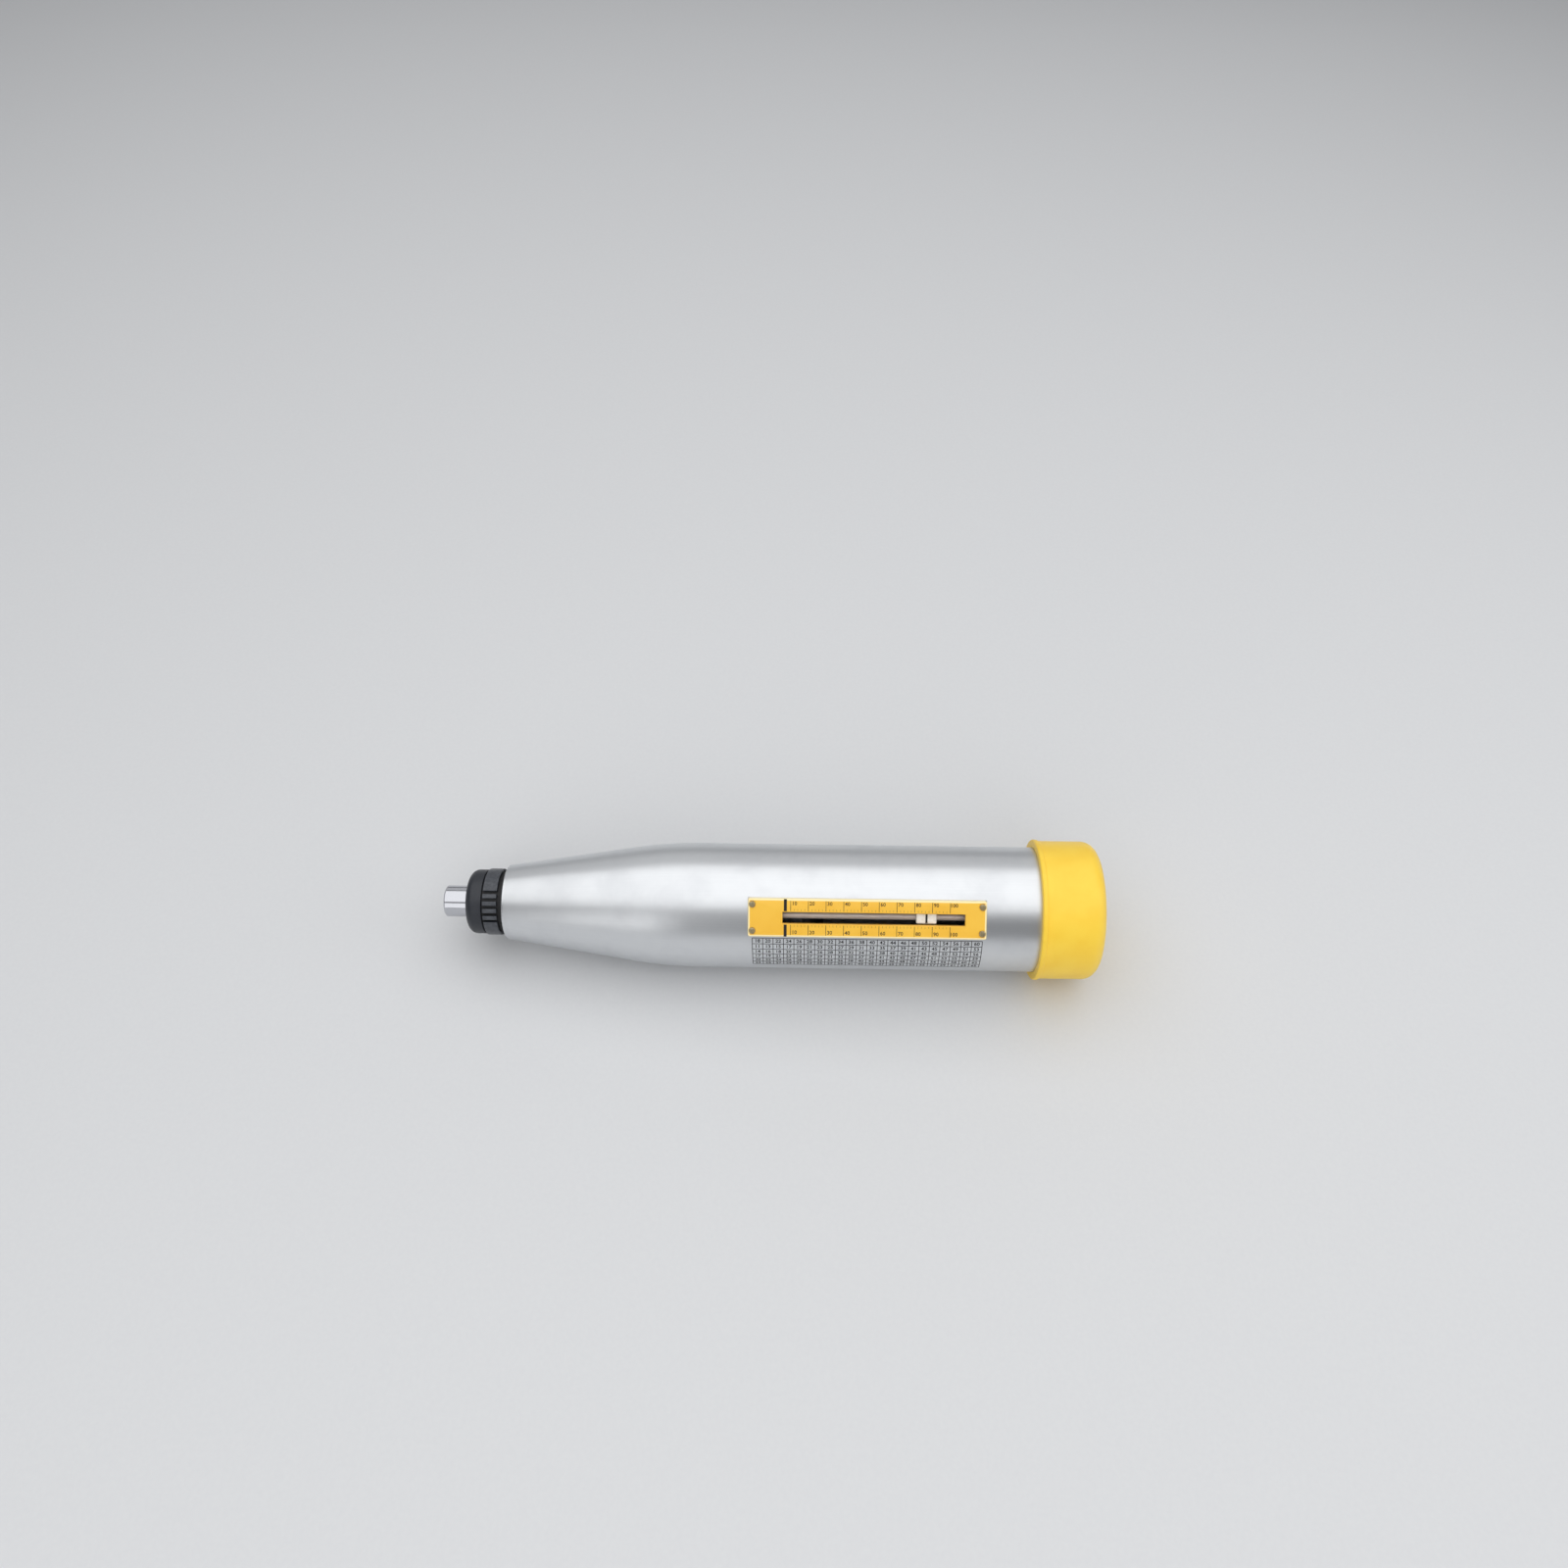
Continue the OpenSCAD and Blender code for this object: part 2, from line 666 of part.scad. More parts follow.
// Set screw in the end wall that trips the pawl
module trip_screw()
    color("silver")
        placed()
            translate([0, trip_y, 0])
                difference() {
                    rod(trip_x, tail_end - overrun, trip_d / 2);
                    translate([tail_end - 2 * overrun, -trip_slot / 2, -trip_d])
                        cube([2 * overrun, trip_slot, 2 * trip_d]);
                }

// Nut that locks the trip screw, in the end wall's recess
module lock_nut()
    color("darkgray")
        placed()
            translate([0, trip_y, 0])
                hex_nut(nut_x, nut_t, nut_flats, trip_d / 2 + pin_gap);

// Turns a profile about the button's own line, outwards from the axis
module button_place()
    placed()
        translate([button_x, 0, 0])
            mirror([0, 0, 1])
                children();

// Bush in the tube's wall that holds the push button
module button_bush()
    color("darkgray")
        button_place()
            rotate_extrude()
                polygon([[stem_d / 2 + slide_gap, bush_in], [bush_d / 2, bush_in],
                    [bush_d / 2, bush_top - edge_chamfer], [bush_d / 2 - edge_chamfer, bush_top],
                    [button_d / 2 + slide_gap, bush_top], [button_d / 2 + slide_gap, bush_top - bush_mouth_t],
                    [flange_d / 2 + slide_gap, bush_top - bush_mouth_t],
                    [flange_d / 2 + slide_gap, bush_in + bush_floor],
                    [stem_d / 2 + slide_gap, bush_in + bush_floor]]);

// Push button that drops its stem in front of the disc and so holds the plunger in
module push_button()
    color("black")
        button_place()
            rotate_extrude()
                polygon([[0, bush_in + slide_gap], [stem_d / 2, bush_in + slide_gap], [stem_d / 2, flange_low],
                    [flange_d / 2, flange_low], [flange_d / 2, flange_top], [button_d / 2, flange_top],
                    [button_d / 2, button_top - button_round], [button_d / 2 - button_round, button_top],
                    [0, button_top]]);

// Spring that lifts the push button
module button_spring()
    color("slategray")
        button_place()
            rotate([0, -90, 0])
                coil("button spring", button_turns, button_spring_r, bush_in + bush_floor + button_wire,
                    flange_low - button_wire, button_wire);

// Flat scale plate with its reading slot
module scale_plate()
    color("goldenrod")
        placed()
            translate([0, 0, seat_z])
                linear_extrude(height = plate_t)
                    difference() {
                        union() {
                            translate([plate_x + plate_round, -plate_w / 2])
                                square([plate_len - 2 * plate_round, plate_w]);
                            translate([plate_x, plate_round - plate_w / 2])
                                square([plate_len, plate_w - 2 * plate_round]);
                            for (x = [plate_x + plate_round, plate_end - plate_round], side = [-1, 1])
                                translate([x, side * (plate_w / 2 - plate_round)])
                                    circle(r = plate_round);
                        }
                        translate([zero_x - slot_over, -slot_w / 2])
                            square([stroke + 2 * slot_over, slot_w]);
                        at_screws()
                            circle(d = screw_d + 2 * pin_gap);
                    }

// Four screws through the plate and the tube into the rod's blocks
module plate_screws()
    color("silver")
        placed()
            at_screws()
                difference() {
                    union() {
                        translate([0, 0, block_z + block_under])
                            cylinder(h = seat_z + plate_t - block_z - block_under, d = screw_d);
                        translate([0, 0, seat_z + plate_t])
                            cylinder(h = screw_head_t, d = screw_head_d);
                    }
                    translate([-screw_slot / 2, -screw_head_d, seat_z + plate_t + screw_head_t / 2])
                        cube([screw_slot, 2 * screw_head_d, screw_head_t]);
                }

// Rider that keeps the reading, on its rod in the slot
module rider()
    color("whitesmoke")
        placed()
            difference() {
                translate([rider_x, -rider_w / 2, rider_z])
                    cube([rider_len, rider_w, rider_top - rider_z]);
                translate([index_x - index_w / 2, -rider_w / 2 - overrun, rider_top - index_deep])
                    cube([index_w, rider_w + 2 * overrun, index_deep + overrun]);
                translate([0, 0, rider_rod_z])
                    rod(rider_x - overrun, rider_x + rider_len + overrun, rider_rod_d / 2 + pin_gap);
            }

// Bent leaf under the rider, which the rebounding striker takes along
module rider_leaf()
    color("steelblue")
        placed()
            translate([rider_x, -leaf_w / 2, 0]) {
                translate([0, 0, rider_z - leaf_t])
                    cube([rider_len / 2 + index_lead + leaf_t, leaf_w, leaf_t]);
                translate([rider_len / 2 + index_lead, 0, leaf_tip_z])
                    cube([leaf_t, leaf_w, rider_z - leaf_tip_z]);
            }

// Rod along which the rider slides
module rider_rod()
    color("slategray")
        placed()
            translate([0, 0, rider_rod_z])
                rod(plate_x + screw_inset, plate_end - screw_inset, rider_rod_d / 2);

// A block under the tube's wall that holds one end of the rider's rod
module rod_block(from, to)
    placed()
        difference() {
            intersection() {
                translate([from, -block_w / 2, block_z])
                    cube([to - from, block_w, tube_d]);
                rod(from - overrun, to + overrun, bore_r - pin_gap);
            }
            translate([0, 0, rider_rod_z])
                rod(from - overrun, to + overrun, rider_rod_d / 2 + pin_gap);
            at_screws()
                translate([0, 0, block_z + block_under - slide_gap])
                    cylinder(h = tube_d, d = screw_d + 2 * pin_gap);
        }

module rod_block_front()
    color("darkgoldenrod")
        rod_block(plate_x, block_front_end);

module rod_block_rear()
    color("darkgoldenrod")
        rod_block(block_rear_x, plate_end);

housing();
nose_cap();
felt_washer();
split_ring();
guide_sleeve();
plunger();
buffer_spring();
guide_bar();
striker();
impact_spring();
guide_disc();
bar_nut();
pawl();
pawl_pin();
pawl_spring();
return_spring();
tail_cap();
trip_screw();
lock_nut();
button_bush();
push_button();
button_spring();
scale_plate();
plate_screws();
rider();
rider_leaf();
rider_rod();
rod_block_front();
rod_block_rear();
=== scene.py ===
# Spring-driven hammer that tests concrete by its rebound: turned tube, plunger, tail cap, scale and works.
# The pieces follow in the order in which a bench puts the hammer together, each with its sizes and finish.
import math

import bmesh
import bpy
from mathutils import Matrix, Vector


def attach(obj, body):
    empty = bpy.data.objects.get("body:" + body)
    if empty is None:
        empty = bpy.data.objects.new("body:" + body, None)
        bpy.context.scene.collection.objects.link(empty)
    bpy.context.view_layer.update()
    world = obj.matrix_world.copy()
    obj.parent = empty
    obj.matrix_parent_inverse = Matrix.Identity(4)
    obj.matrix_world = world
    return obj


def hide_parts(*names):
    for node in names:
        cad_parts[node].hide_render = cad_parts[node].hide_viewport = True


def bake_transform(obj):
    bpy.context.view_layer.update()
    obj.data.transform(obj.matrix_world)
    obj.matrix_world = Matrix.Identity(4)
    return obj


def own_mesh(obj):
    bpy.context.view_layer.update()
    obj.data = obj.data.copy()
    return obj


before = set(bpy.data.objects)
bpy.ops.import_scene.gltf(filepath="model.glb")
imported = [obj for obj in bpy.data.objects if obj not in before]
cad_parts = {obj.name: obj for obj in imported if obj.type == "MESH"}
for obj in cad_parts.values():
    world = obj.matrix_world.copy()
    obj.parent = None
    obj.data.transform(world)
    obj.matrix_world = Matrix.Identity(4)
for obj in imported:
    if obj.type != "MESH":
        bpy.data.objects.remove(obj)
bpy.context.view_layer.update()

# Tube: one aluminium turning with a threaded neck, a long cone and a straight barrel, brushed lengthwise to a
# satin and anodised clear. A flat is milled for the scale plate, with a slot through the wall for the rider,
# and the lock button's hole is drilled on the far side.
GRIP = 150
SCALE_TURN = math.radians(45)
MM = 0.001
# Pieces are drawn in millimetres about the hammer's own axis, station 0 at the nose face, scale side up.
SET_DOWN = (Matrix.Translation((-GRIP * MM, 0, 0)) @ Matrix.Rotation(SCALE_TURN, 4, "X")
            @ Matrix.Scale(MM, 4))
# Points nearer than this are one: as drawn, and after a cut or a rounding.
WELD, CLEAN = 1e-4, 0.003


def placed(name, data):
    """A new object with that data, in the scene."""
    thing = bpy.data.objects.new(name, data)
    bpy.context.scene.collection.objects.link(thing)
    return thing


def welded(mesh, near):
    """Joins a mesh's points that are nearer than that, drops flat faces and turns the rest outwards."""
    work = bmesh.new()
    work.from_mesh(mesh)
    bmesh.ops.remove_doubles(work, verts=work.verts, dist=near)
    bmesh.ops.dissolve_degenerate(work, edges=work.edges, dist=near)
    bmesh.ops.recalc_face_normals(work, faces=work.faces)
    work.to_mesh(mesh)
    work.free()


def mesh_piece(name, points, faces):
    """A closed mesh object from points and faces."""
    mesh = bpy.data.meshes.new(name)
    mesh.from_pydata([tuple(p) for p in points], [], faces)
    welded(mesh, WELD)
    return placed(name, mesh)


def rounded(corners, steps=7):
    """A closed outline of (x, r, rounding) corners, with an arc at each corner that has a rounding."""
    outline = []
    for i, (x, r, rounding) in enumerate(corners):
        here = Vector((x, r))
        if not rounding:
            outline.append(here)
            continue
        before = (Vector(corners[i - 1][:2]) - here).normalized()
        after = (Vector(corners[(i + 1) % len(corners)][:2]) - here).normalized()
        half = math.acos(max(-1, min(1, before.dot(after)))) / 2
        start = here + before * (rounding / math.tan(half))
        end = here + after * (rounding / math.tan(half))
        middle = here + (before + after).normalized() * (rounding / math.sin(half))
        for k in range(steps + 1):
            swing = (start - middle).lerp(end - middle, k / steps).normalized() * rounding
            outline.append(middle + swing)
    return outline


def turned(name, corners, around=192, start=0.0, sweep=2 * math.pi):
    """A turning about the hammer's axis from a closed outline, or a sector of one with flat ends."""
    outline = rounded(corners)
    whole = sweep > 2 * math.pi - 1e-6
    columns = around if whole else around + 1
    points, faces, n = [], [], len(outline)
    for j in range(columns):
        a = start + sweep * j / around
        points += [(p.x, p.y * math.sin(a), p.y * math.cos(a)) for p in outline]
    for j in range(around):
        k = (j + 1) % columns
        for i in range(n):
            faces.append((j * n + i, j * n + (i + 1) % n, k * n + (i + 1) % n, k * n + i))
    if not whole:
        faces += [tuple(range(n)), tuple(around * n + i for i in range(n))]
    return mesh_piece(name, points, faces)


def block(name, low, high):
    """A plain box between two corners, for a cut or a bevelled piece."""
    points = [(x, y, z) for x in (low[0], high[0]) for y in (low[1], high[1])
              for z in (low[2], high[2])]
    faces = [(0, 1, 3, 2), (4, 6, 7, 5), (0, 4, 5, 1), (2, 3, 7, 6), (0, 2, 6, 4), (1, 5, 7, 3)]
    return mesh_piece(name, points, faces)


def settled(piece):
    """Replaces a piece's live modifiers by the mesh that they give."""
    graph = bpy.context.evaluated_depsgraph_get()
    mesh = bpy.data.meshes.new_from_object(piece.evaluated_get(graph))
    piece.modifiers.clear()
    piece.data = mesh
    mesh.name = piece.name
    return piece


def cut(piece, *tools):
    """Takes other solids out of a piece."""
    for tool in tools:
        taken = piece.modifiers.new("cut", "BOOLEAN")
        taken.object, taken.operation, taken.solver = tool, "DIFFERENCE", "EXACT"
    settled(piece)
    welded(piece.data, CLEAN)
    for tool in tools:
        bpy.data.objects.remove(tool)
    return piece


def coated(piece, slot, finish, *nodes, sharp=32):
    """Sets a drawn piece in the shared frame and gives it its finish, in the place of its nodes."""
    mesh = piece.data
    mesh.transform(SET_DOWN)
    mesh.polygons.foreach_set("use_smooth", [True] * len(mesh.polygons))
    mesh.set_sharp_from_angle(angle=math.radians(sharp))
    mesh.materials.clear()
    mesh.materials.append(finish)
    if nodes:
        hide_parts(*nodes)
    return piece


def done(piece, body, slot, finish, *nodes, sharp=32):
    """Coats a drawn piece and hangs it on its body."""
    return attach(coated(piece, slot, finish, *nodes, sharp=sharp), body)


def peg(name, x, y, r, low, high, around=64):
    """A round bar across the axis, for a drilled hole or a sink."""
    turns = [2 * math.pi * k / around for k in range(around)]
    ring = [(x + r * math.cos(a), y + r * math.sin(a)) for a in turns]
    points = [(p, q, z) for z in (low, high) for p, q in ring]
    faces = [(k, (k + 1) % around, around + (k + 1) % around, around + k) for k in range(around)]
    faces += [tuple(range(around)), tuple(range(around, 2 * around))]
    return mesh_piece(name, points, faces)


class Wire:
    """A socket in a finish's nodes: arithmetic on it adds Math nodes, and add() brings in any other node."""

    def __init__(self, tree, socket=None):
        self.tree, self.socket = tree, socket

    def add(self, kind, settings=None, values=None, out=0):
        node = self.tree.nodes.new(kind)
        for key, value in (settings or {}).items():
            setattr(node, key, value)
        for key, value in (values or {}).items():
            if isinstance(value, Wire):
                self.tree.links.new(value.socket, node.inputs[key])
            else:
                node.inputs[key].default_value = value
        return Wire(self.tree, node.outputs[out])

    def math(self, operation, first, second=0.0):
        return self.add("ShaderNodeMath", {"operation": operation}, {0: first, 1: second})

    def __add__(self, other):
        return self.math("ADD", self, other)

    __radd__ = __add__

    def __sub__(self, other):
        return self.math("SUBTRACT", self, other)

    def __rsub__(self, other):
        return self.math("SUBTRACT", other, self)

    def __mul__(self, other):
        return self.math("MULTIPLY", self, other)

    __rmul__ = __mul__

    def vector(self, operation, first, second=(0, 0, 0), out=0):
        return self.add("ShaderNodeVectorMath", {"operation": operation}, {0: first, 1: second}, out)

    def part(self, axis):
        return self.add("ShaderNodeSeparateXYZ", None, {0: self}, out=axis)

    def off_axis(self):
        """The distance from the hammer's axis."""
        return self.vector("LENGTH", self.vector("MULTIPLY", self, (0, 1, 1)), out="Value")

    def lengthwise(self, along, around):
        """This place for a pattern drawn out along the hammer, the same at any distance from the axis."""
        ring = self.vector("NORMALIZE", self.vector("MULTIPLY", self, (0, 1, 1)))
        return self.vector("ADD", self.vector("MULTIPLY", ring, (0, around, around)),
                           self.vector("MULTIPLY", self, (along, 0, 0)))

    def noise(self, scale, detail=2.0, roughness=0.5, stretch=None):
        where = self
        if stretch:
            where = self.add("ShaderNodeMapping", None, {"Vector": self, "Scale": stretch})
        return self.add("ShaderNodeTexNoise", None,
                        {"Vector": where, "Scale": scale, "Detail": detail, "Roughness": roughness})

    def between(self, low, high):
        """0 below low, 1 above high, smooth in between."""
        return self.add("ShaderNodeMapRange", {"interpolation_type": "SMOOTHSTEP"},
                        {"Value": self, "From Min": low, "From Max": high})

    def tint(self, first, second):
        """A colour that goes from the first to the second with this value."""
        return self.add("ShaderNodeMix", {"data_type": "RGBA"}, {0: self, 6: first, 7: second}, out=2)


def finish(name, **fixed):
    """A new finish with the shader's fixed values, its shader and each spot's place in millimetres."""
    material = bpy.data.materials.new(name)
    material.use_nodes = True
    tree = material.node_tree
    shader = tree.nodes["Principled BSDF"]
    for socket, value in fixed.items():
        shader.inputs[socket.replace("_", " ")].default_value = value
    root = Wire(tree)
    spot = root.add("ShaderNodeMapping", None,
                    {"Vector": root.add("ShaderNodeTexCoord", out="Object"), "Location": (GRIP, 0, 0),
                     "Rotation": (-SCALE_TURN, 0, 0), "Scale": (1 / MM, 1 / MM, 1 / MM)})
    return material, shader, spot


def feed(shader, **sockets):
    """Leads the finish's wires to the shader's sockets. A Bump wire is a height in millimetres."""
    for socket, wire in sockets.items():
        if socket == "Bump":
            wire = wire.add("ShaderNodeBump", None, {"Strength": 1.0, "Distance": MM, "Height": wire})
            socket = "Normal"
        wire.tree.links.new(wire.socket, shader.inputs[socket.replace("_", " ")])


def rgb(red, green, blue):
    """A colour from its 0 to 255 levels on a screen."""
    return tuple(((c / 255 + 0.055) / 1.055) ** 2.4 for c in (red, green, blue)) + (1,)


NECK_FROM, NOSE_LEDGE, CHAMBER_FROM, SHOULDER, TUBE_END = 8.8, 17, 22, 88, 262
NECK_R, NECK_BORE_R, CONE_R, TUBE_R, BORE_R = 11.9, 10.1, 16.5, 27.5, 23.5
NECK_EDGE, CONE_EDGE, SHOULDER_ROUND, END_EDGE = 0.4, 0.55, 181.8, 0.4
PLATE_FROM, PLATE_TO, SEAT_Z, SEAT_PLAY = 125.7, 226.8, 26.2, 0.1
WAY_FROM, WAY_TO, WAY_HALF_W = 136.1, 222.1, 3.5
SCREW_INSET, SCREW_Y, SCREW_HOLE_R = 1.8, 5.7, 1.05
SCREW_SPOTS = [(x, y) for x in (PLATE_FROM + SCREW_INSET, PLATE_TO - SCREW_INSET)
               for y in (-SCREW_Y, SCREW_Y)]
BUTTON_X, BUTTON_HOLE_R = 239.1, 6.05
# Cuts through the wall run between these heights over the axis, and the seat's cut is this wide to a side.
INSIDE, OUTSIDE, SEAT_HALF_W = 5, 40, 20

anodised, shader, spot = finish("anodised_aluminium", Metallic=1.0)
blast = spot.noise(3.2, 3)
brushing = spot.lengthwise(0.03, 120).noise(1.0, 3, 0.6)
handled = spot.noise(0.05, 4, 0.6).between(0.42, 0.72)
clouds = spot.noise(0.22, 3)
rim = 1 - spot.part("X").between(NOSE_LEDGE + 0.2, NOSE_LEDGE + 1.6)
worn = handled * 0.4 + clouds * 0.3 + (brushing - 0.5) * 0.6
feed(shader, Base_Color=worn.tint(rgb(222, 224, 226), rgb(208, 210, 213)),
     Roughness=0.3 + handled * 0.04 + clouds * 0.03 + brushing * 0.08 - rim * 0.12,
     Bump=blast * 0.003 + brushing * 0.006 + clouds * 0.001)

# Rings on either side of the cuts keep the barrel's faces short there, so that it shades evenly beyond them.
beside_plate, beside_button = 0.3, 7
beside_cuts = [(x, TUBE_R, 0) for x in (PLATE_FROM - beside_plate, PLATE_TO + beside_plate,
                                        BUTTON_X - beside_button, BUTTON_X + beside_button)]
cone_rise = (CHAMBER_FROM - NOSE_LEDGE) * (TUBE_R - CONE_R) / (SHOULDER - NOSE_LEDGE)
tube = turned("tube", [
    (NECK_FROM, NECK_BORE_R, 0), (NECK_FROM, NECK_R, NECK_EDGE), (NOSE_LEDGE, NECK_R, 0),
    (NOSE_LEDGE, CONE_R, CONE_EDGE), (SHOULDER, TUBE_R, SHOULDER_ROUND), *beside_cuts,
    (TUBE_END, TUBE_R, END_EDGE), (TUBE_END, BORE_R, END_EDGE), (SHOULDER, BORE_R, 0),
    (CHAMBER_FROM, CONE_R + cone_rise - (TUBE_R - BORE_R), 0), (CHAMBER_FROM, NECK_BORE_R, 0)])
cut(tube, block("seat", (PLATE_FROM - SEAT_PLAY, -SEAT_HALF_W, SEAT_Z),
                (PLATE_TO + SEAT_PLAY, SEAT_HALF_W, OUTSIDE)),
    block("way", (WAY_FROM, -WAY_HALF_W, INSIDE), (WAY_TO, WAY_HALF_W, OUTSIDE)),
    peg("hole", BUTTON_X, 0, BUTTON_HOLE_R, -OUTSIDE, -INSIDE),
    *[peg("hole", x, y, SCREW_HOLE_R, INSIDE, OUTSIDE, around=24) for x, y in SCREW_SPOTS])
done(tube, "tube", "tube_aluminium", anodised, "housing", sharp=15)

# Works inside the nose: a turned guide sleeve held by a ring in two halves, and a felt washer that wipes the
# plunger. Sleeve and ring are bright turned steel, lightly oiled; the washer is pressed from grey wool.
steel, shader, spot = finish("turned_steel", Metallic=1.0)
lathe_marks = spot.noise(1.0, 2, 0.5, (7, 0.15, 0.15))
oil = spot.noise(0.12, 3).between(0.45, 0.7)
feed(shader, Base_Color=oil.tint(rgb(196, 198, 201), rgb(170, 171, 172)),
     Roughness=0.26 + lathe_marks * 0.14 - oil * 0.06, Bump=lathe_marks * 0.004)

felt, shader, spot = finish("wool_felt")
fibres = spot.noise(2.2, 5, 0.7)
tufts = spot.noise(0.7, 3)
feed(shader, Base_Color=fibres.between(0.35, 0.68).tint(rgb(112, 110, 106), rgb(168, 165, 158)),
     Roughness=0.9 + tufts * 0.08, Bump=fibres * 0.12 + tufts * 0.1)


def dress(finish, *nodes):
    """Gives nodes whose solid is right already their finish."""
    for node in nodes:
        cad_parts[node].data.materials.clear()
        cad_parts[node].data.materials.append(finish)


dress(steel, "guide_sleeve", "split_ring")
dress(felt, "felt_washer")

# Plunger: a hardened steel bar, ground and polished bright, with a shallow domed tip and a blind bore at the
# rear for the guide bar. It slides in the sleeve and strikes the concrete.
PLUNGER_TIP, PLUNGER_END, PLUNGER_R, DOME_R, DOME_STEPS = -12, 99.7, 7.0, 25, 12
PLUNGER_BORE_FROM, PLUNGER_BORE_R = 45, 4.1
TIP_CHAMFER, TIP_CHAMFER_LEN, TIP_EDGE, PLUNGER_EDGE, BORE_EDGE = 0.5, 0.55, 0.3, 0.5, 0.3
polished, shader, spot = finish("polished_steel", Metallic=1.0)
grinding = spot.noise(1.0, 3, 0.6, (9, 0.2, 0.2))
at_tip = 1 - spot.part("X").between(PLUNGER_TIP, PLUNGER_TIP + 1.4)
knocks = spot.noise(0.9, 2).between(0.62, 0.72) * at_tip
feed(shader, Base_Color=knocks.tint(rgb(198, 199, 204), rgb(172, 171, 171)),
     Roughness=0.09 + grinding * 0.08 + knocks * 0.2, Bump=grinding * 0.0016)

dome_radii = [(PLUNGER_R - TIP_CHAMFER) * k / DOME_STEPS for k in range(DOME_STEPS + 1)]
dome = [(PLUNGER_TIP + DOME_R - math.sqrt(DOME_R ** 2 - r ** 2), r, 0) for r in dome_radii]
plunger = turned("plunger", dome + [
    (dome[-1][0] + TIP_CHAMFER_LEN, PLUNGER_R, TIP_EDGE), (PLUNGER_END, PLUNGER_R, PLUNGER_EDGE),
    (PLUNGER_END, PLUNGER_BORE_R, BORE_EDGE), (PLUNGER_BORE_FROM, PLUNGER_BORE_R, 0),
    (PLUNGER_BORE_FROM, 0, 0)], around=160)
done(plunger, "carriage", "plunger_steel", polished, "plunger")

# Springs: round music wire, wound cold and oiled dark. The striker's spring is the long one, a stout one
# brings the plunger out again, and small ones sit in the plunger's bore, behind the pawl's ear and under the
# button.
TURN_STEPS, WIRE_SIDES, CLOSED_PITCH, WIRE_SHARP = 40, 12, 1.04, 60
spring_wire, shader, spot = finish("oiled_spring_wire", Metallic=1.0)
drawn = spot.noise(0.8, 3)
film = spot.noise(0.16, 2).between(0.4, 0.65)
feed(shader, Base_Color=film.tint(rgb(128, 131, 137), rgb(96, 97, 100)), Roughness=0.3 + drawn * 0.16,
     Bump=drawn * 0.004)


def grow(name, tree, **sizes):
    """Runs a node tree with its sizes set and keeps the result as a plain mesh piece."""
    piece = placed(name, bpy.data.meshes.new(name))
    made = piece.modifiers.new(name, "NODES")
    made.node_group = tree
    for socket in tree.interface.items_tree:
        if socket.in_out == "INPUT" and socket.name in sizes:
            made[socket.identifier] = sizes[socket.name]
    return settled(piece)


class Sketch:
    """A geometry node tree in the making, with named sizes going in and one mesh coming out."""

    def __init__(self, name, **sizes):
        self.tree = bpy.data.node_groups.new(name, "GeometryNodeTree")
        for size, kind in sizes.items():
            self.tree.interface.new_socket(size, in_out="INPUT", socket_type="NodeSocket" + kind)
        self.tree.interface.new_socket("Geometry", in_out="OUTPUT", socket_type="NodeSocketGeometry")
        self.sizes = self.tree.nodes.new("NodeGroupInput")

    def size(self, name):
        return self.sizes.outputs[name]

    def add(self, kind, settings=None, values=None, out=0):
        node = self.tree.nodes.new(kind)
        for key, value in (settings or {}).items():
            setattr(node, key, value)
        for key, value in (values or {}).items():
            if isinstance(value, bpy.types.NodeSocket):
                self.tree.links.new(value, node.inputs[key])
            else:
                node.inputs[key].default_value = value
        return node.outputs[out]

    def math(self, operation, first, second=0.0):
        return self.add("ShaderNodeMath", {"operation": operation}, {0: first, 1: second})

    def close(self, geometry, material):
        whole = self.add("GeometryNodeRealizeInstances", None, {0: geometry})
        painted = self.add("GeometryNodeSetMaterial", None, {"Geometry": whole, "Material": material})
        self.tree.links.new(painted, self.tree.nodes.new("NodeGroupOutput").inputs[0])
        return self.tree


coil = Sketch("wound_spring", Radius="Float", Wire="Float", Start="Float", End="Float", Turns="Float")
run = coil.math("SUBTRACT", coil.size("End"), coil.size("Start"))
helix = coil.add("GeometryNodeCurveSpiral", None, {
    "Resolution": TURN_STEPS, "Rotations": coil.size("Turns"), "Start Radius": coil.size("Radius"),
    "End Radius": coil.size("Radius"), "Height": run})
turn = coil.math("MULTIPLY", coil.add("GeometryNodeSplineParameter", out="Factor"), coil.size("Turns"))
closed = coil.math("MULTIPLY", coil.size("Wire"), CLOSED_PITCH)
free_run = coil.math("SUBTRACT", run, coil.math("MULTIPLY", closed, 2))
pitch = coil.math("DIVIDE", free_run, coil.math("SUBTRACT", coil.size("Turns"), 2))
last_turn = coil.math("SUBTRACT", coil.size("Turns"), 1)
first_rise = coil.math("MULTIPLY", closed, coil.math("MINIMUM", turn, 1))
free_turns = coil.math("SUBTRACT", coil.math("MINIMUM", coil.math("MAXIMUM", turn, 1), last_turn), 1)
last_rise = coil.math("MULTIPLY", closed, coil.math("MAXIMUM", coil.math("SUBTRACT", turn, last_turn), 0))
rise = coil.math("ADD", coil.math("ADD", first_rise, last_rise), coil.math("MULTIPLY", pitch, free_turns))
flat_place = coil.add("GeometryNodeInputPosition")
placed_line = coil.add("GeometryNodeSetPosition", None, {"Geometry": helix, "Position": coil.add(
    "ShaderNodeCombineXYZ", None, {
        "X": coil.add("ShaderNodeSeparateXYZ", None, {0: flat_place}, out="X"),
        "Y": coil.add("ShaderNodeSeparateXYZ", None, {0: flat_place}, out="Y"), "Z": rise})})
share = coil.math("DIVIDE", free_turns, coil.math("SUBTRACT", coil.size("Turns"), 2))
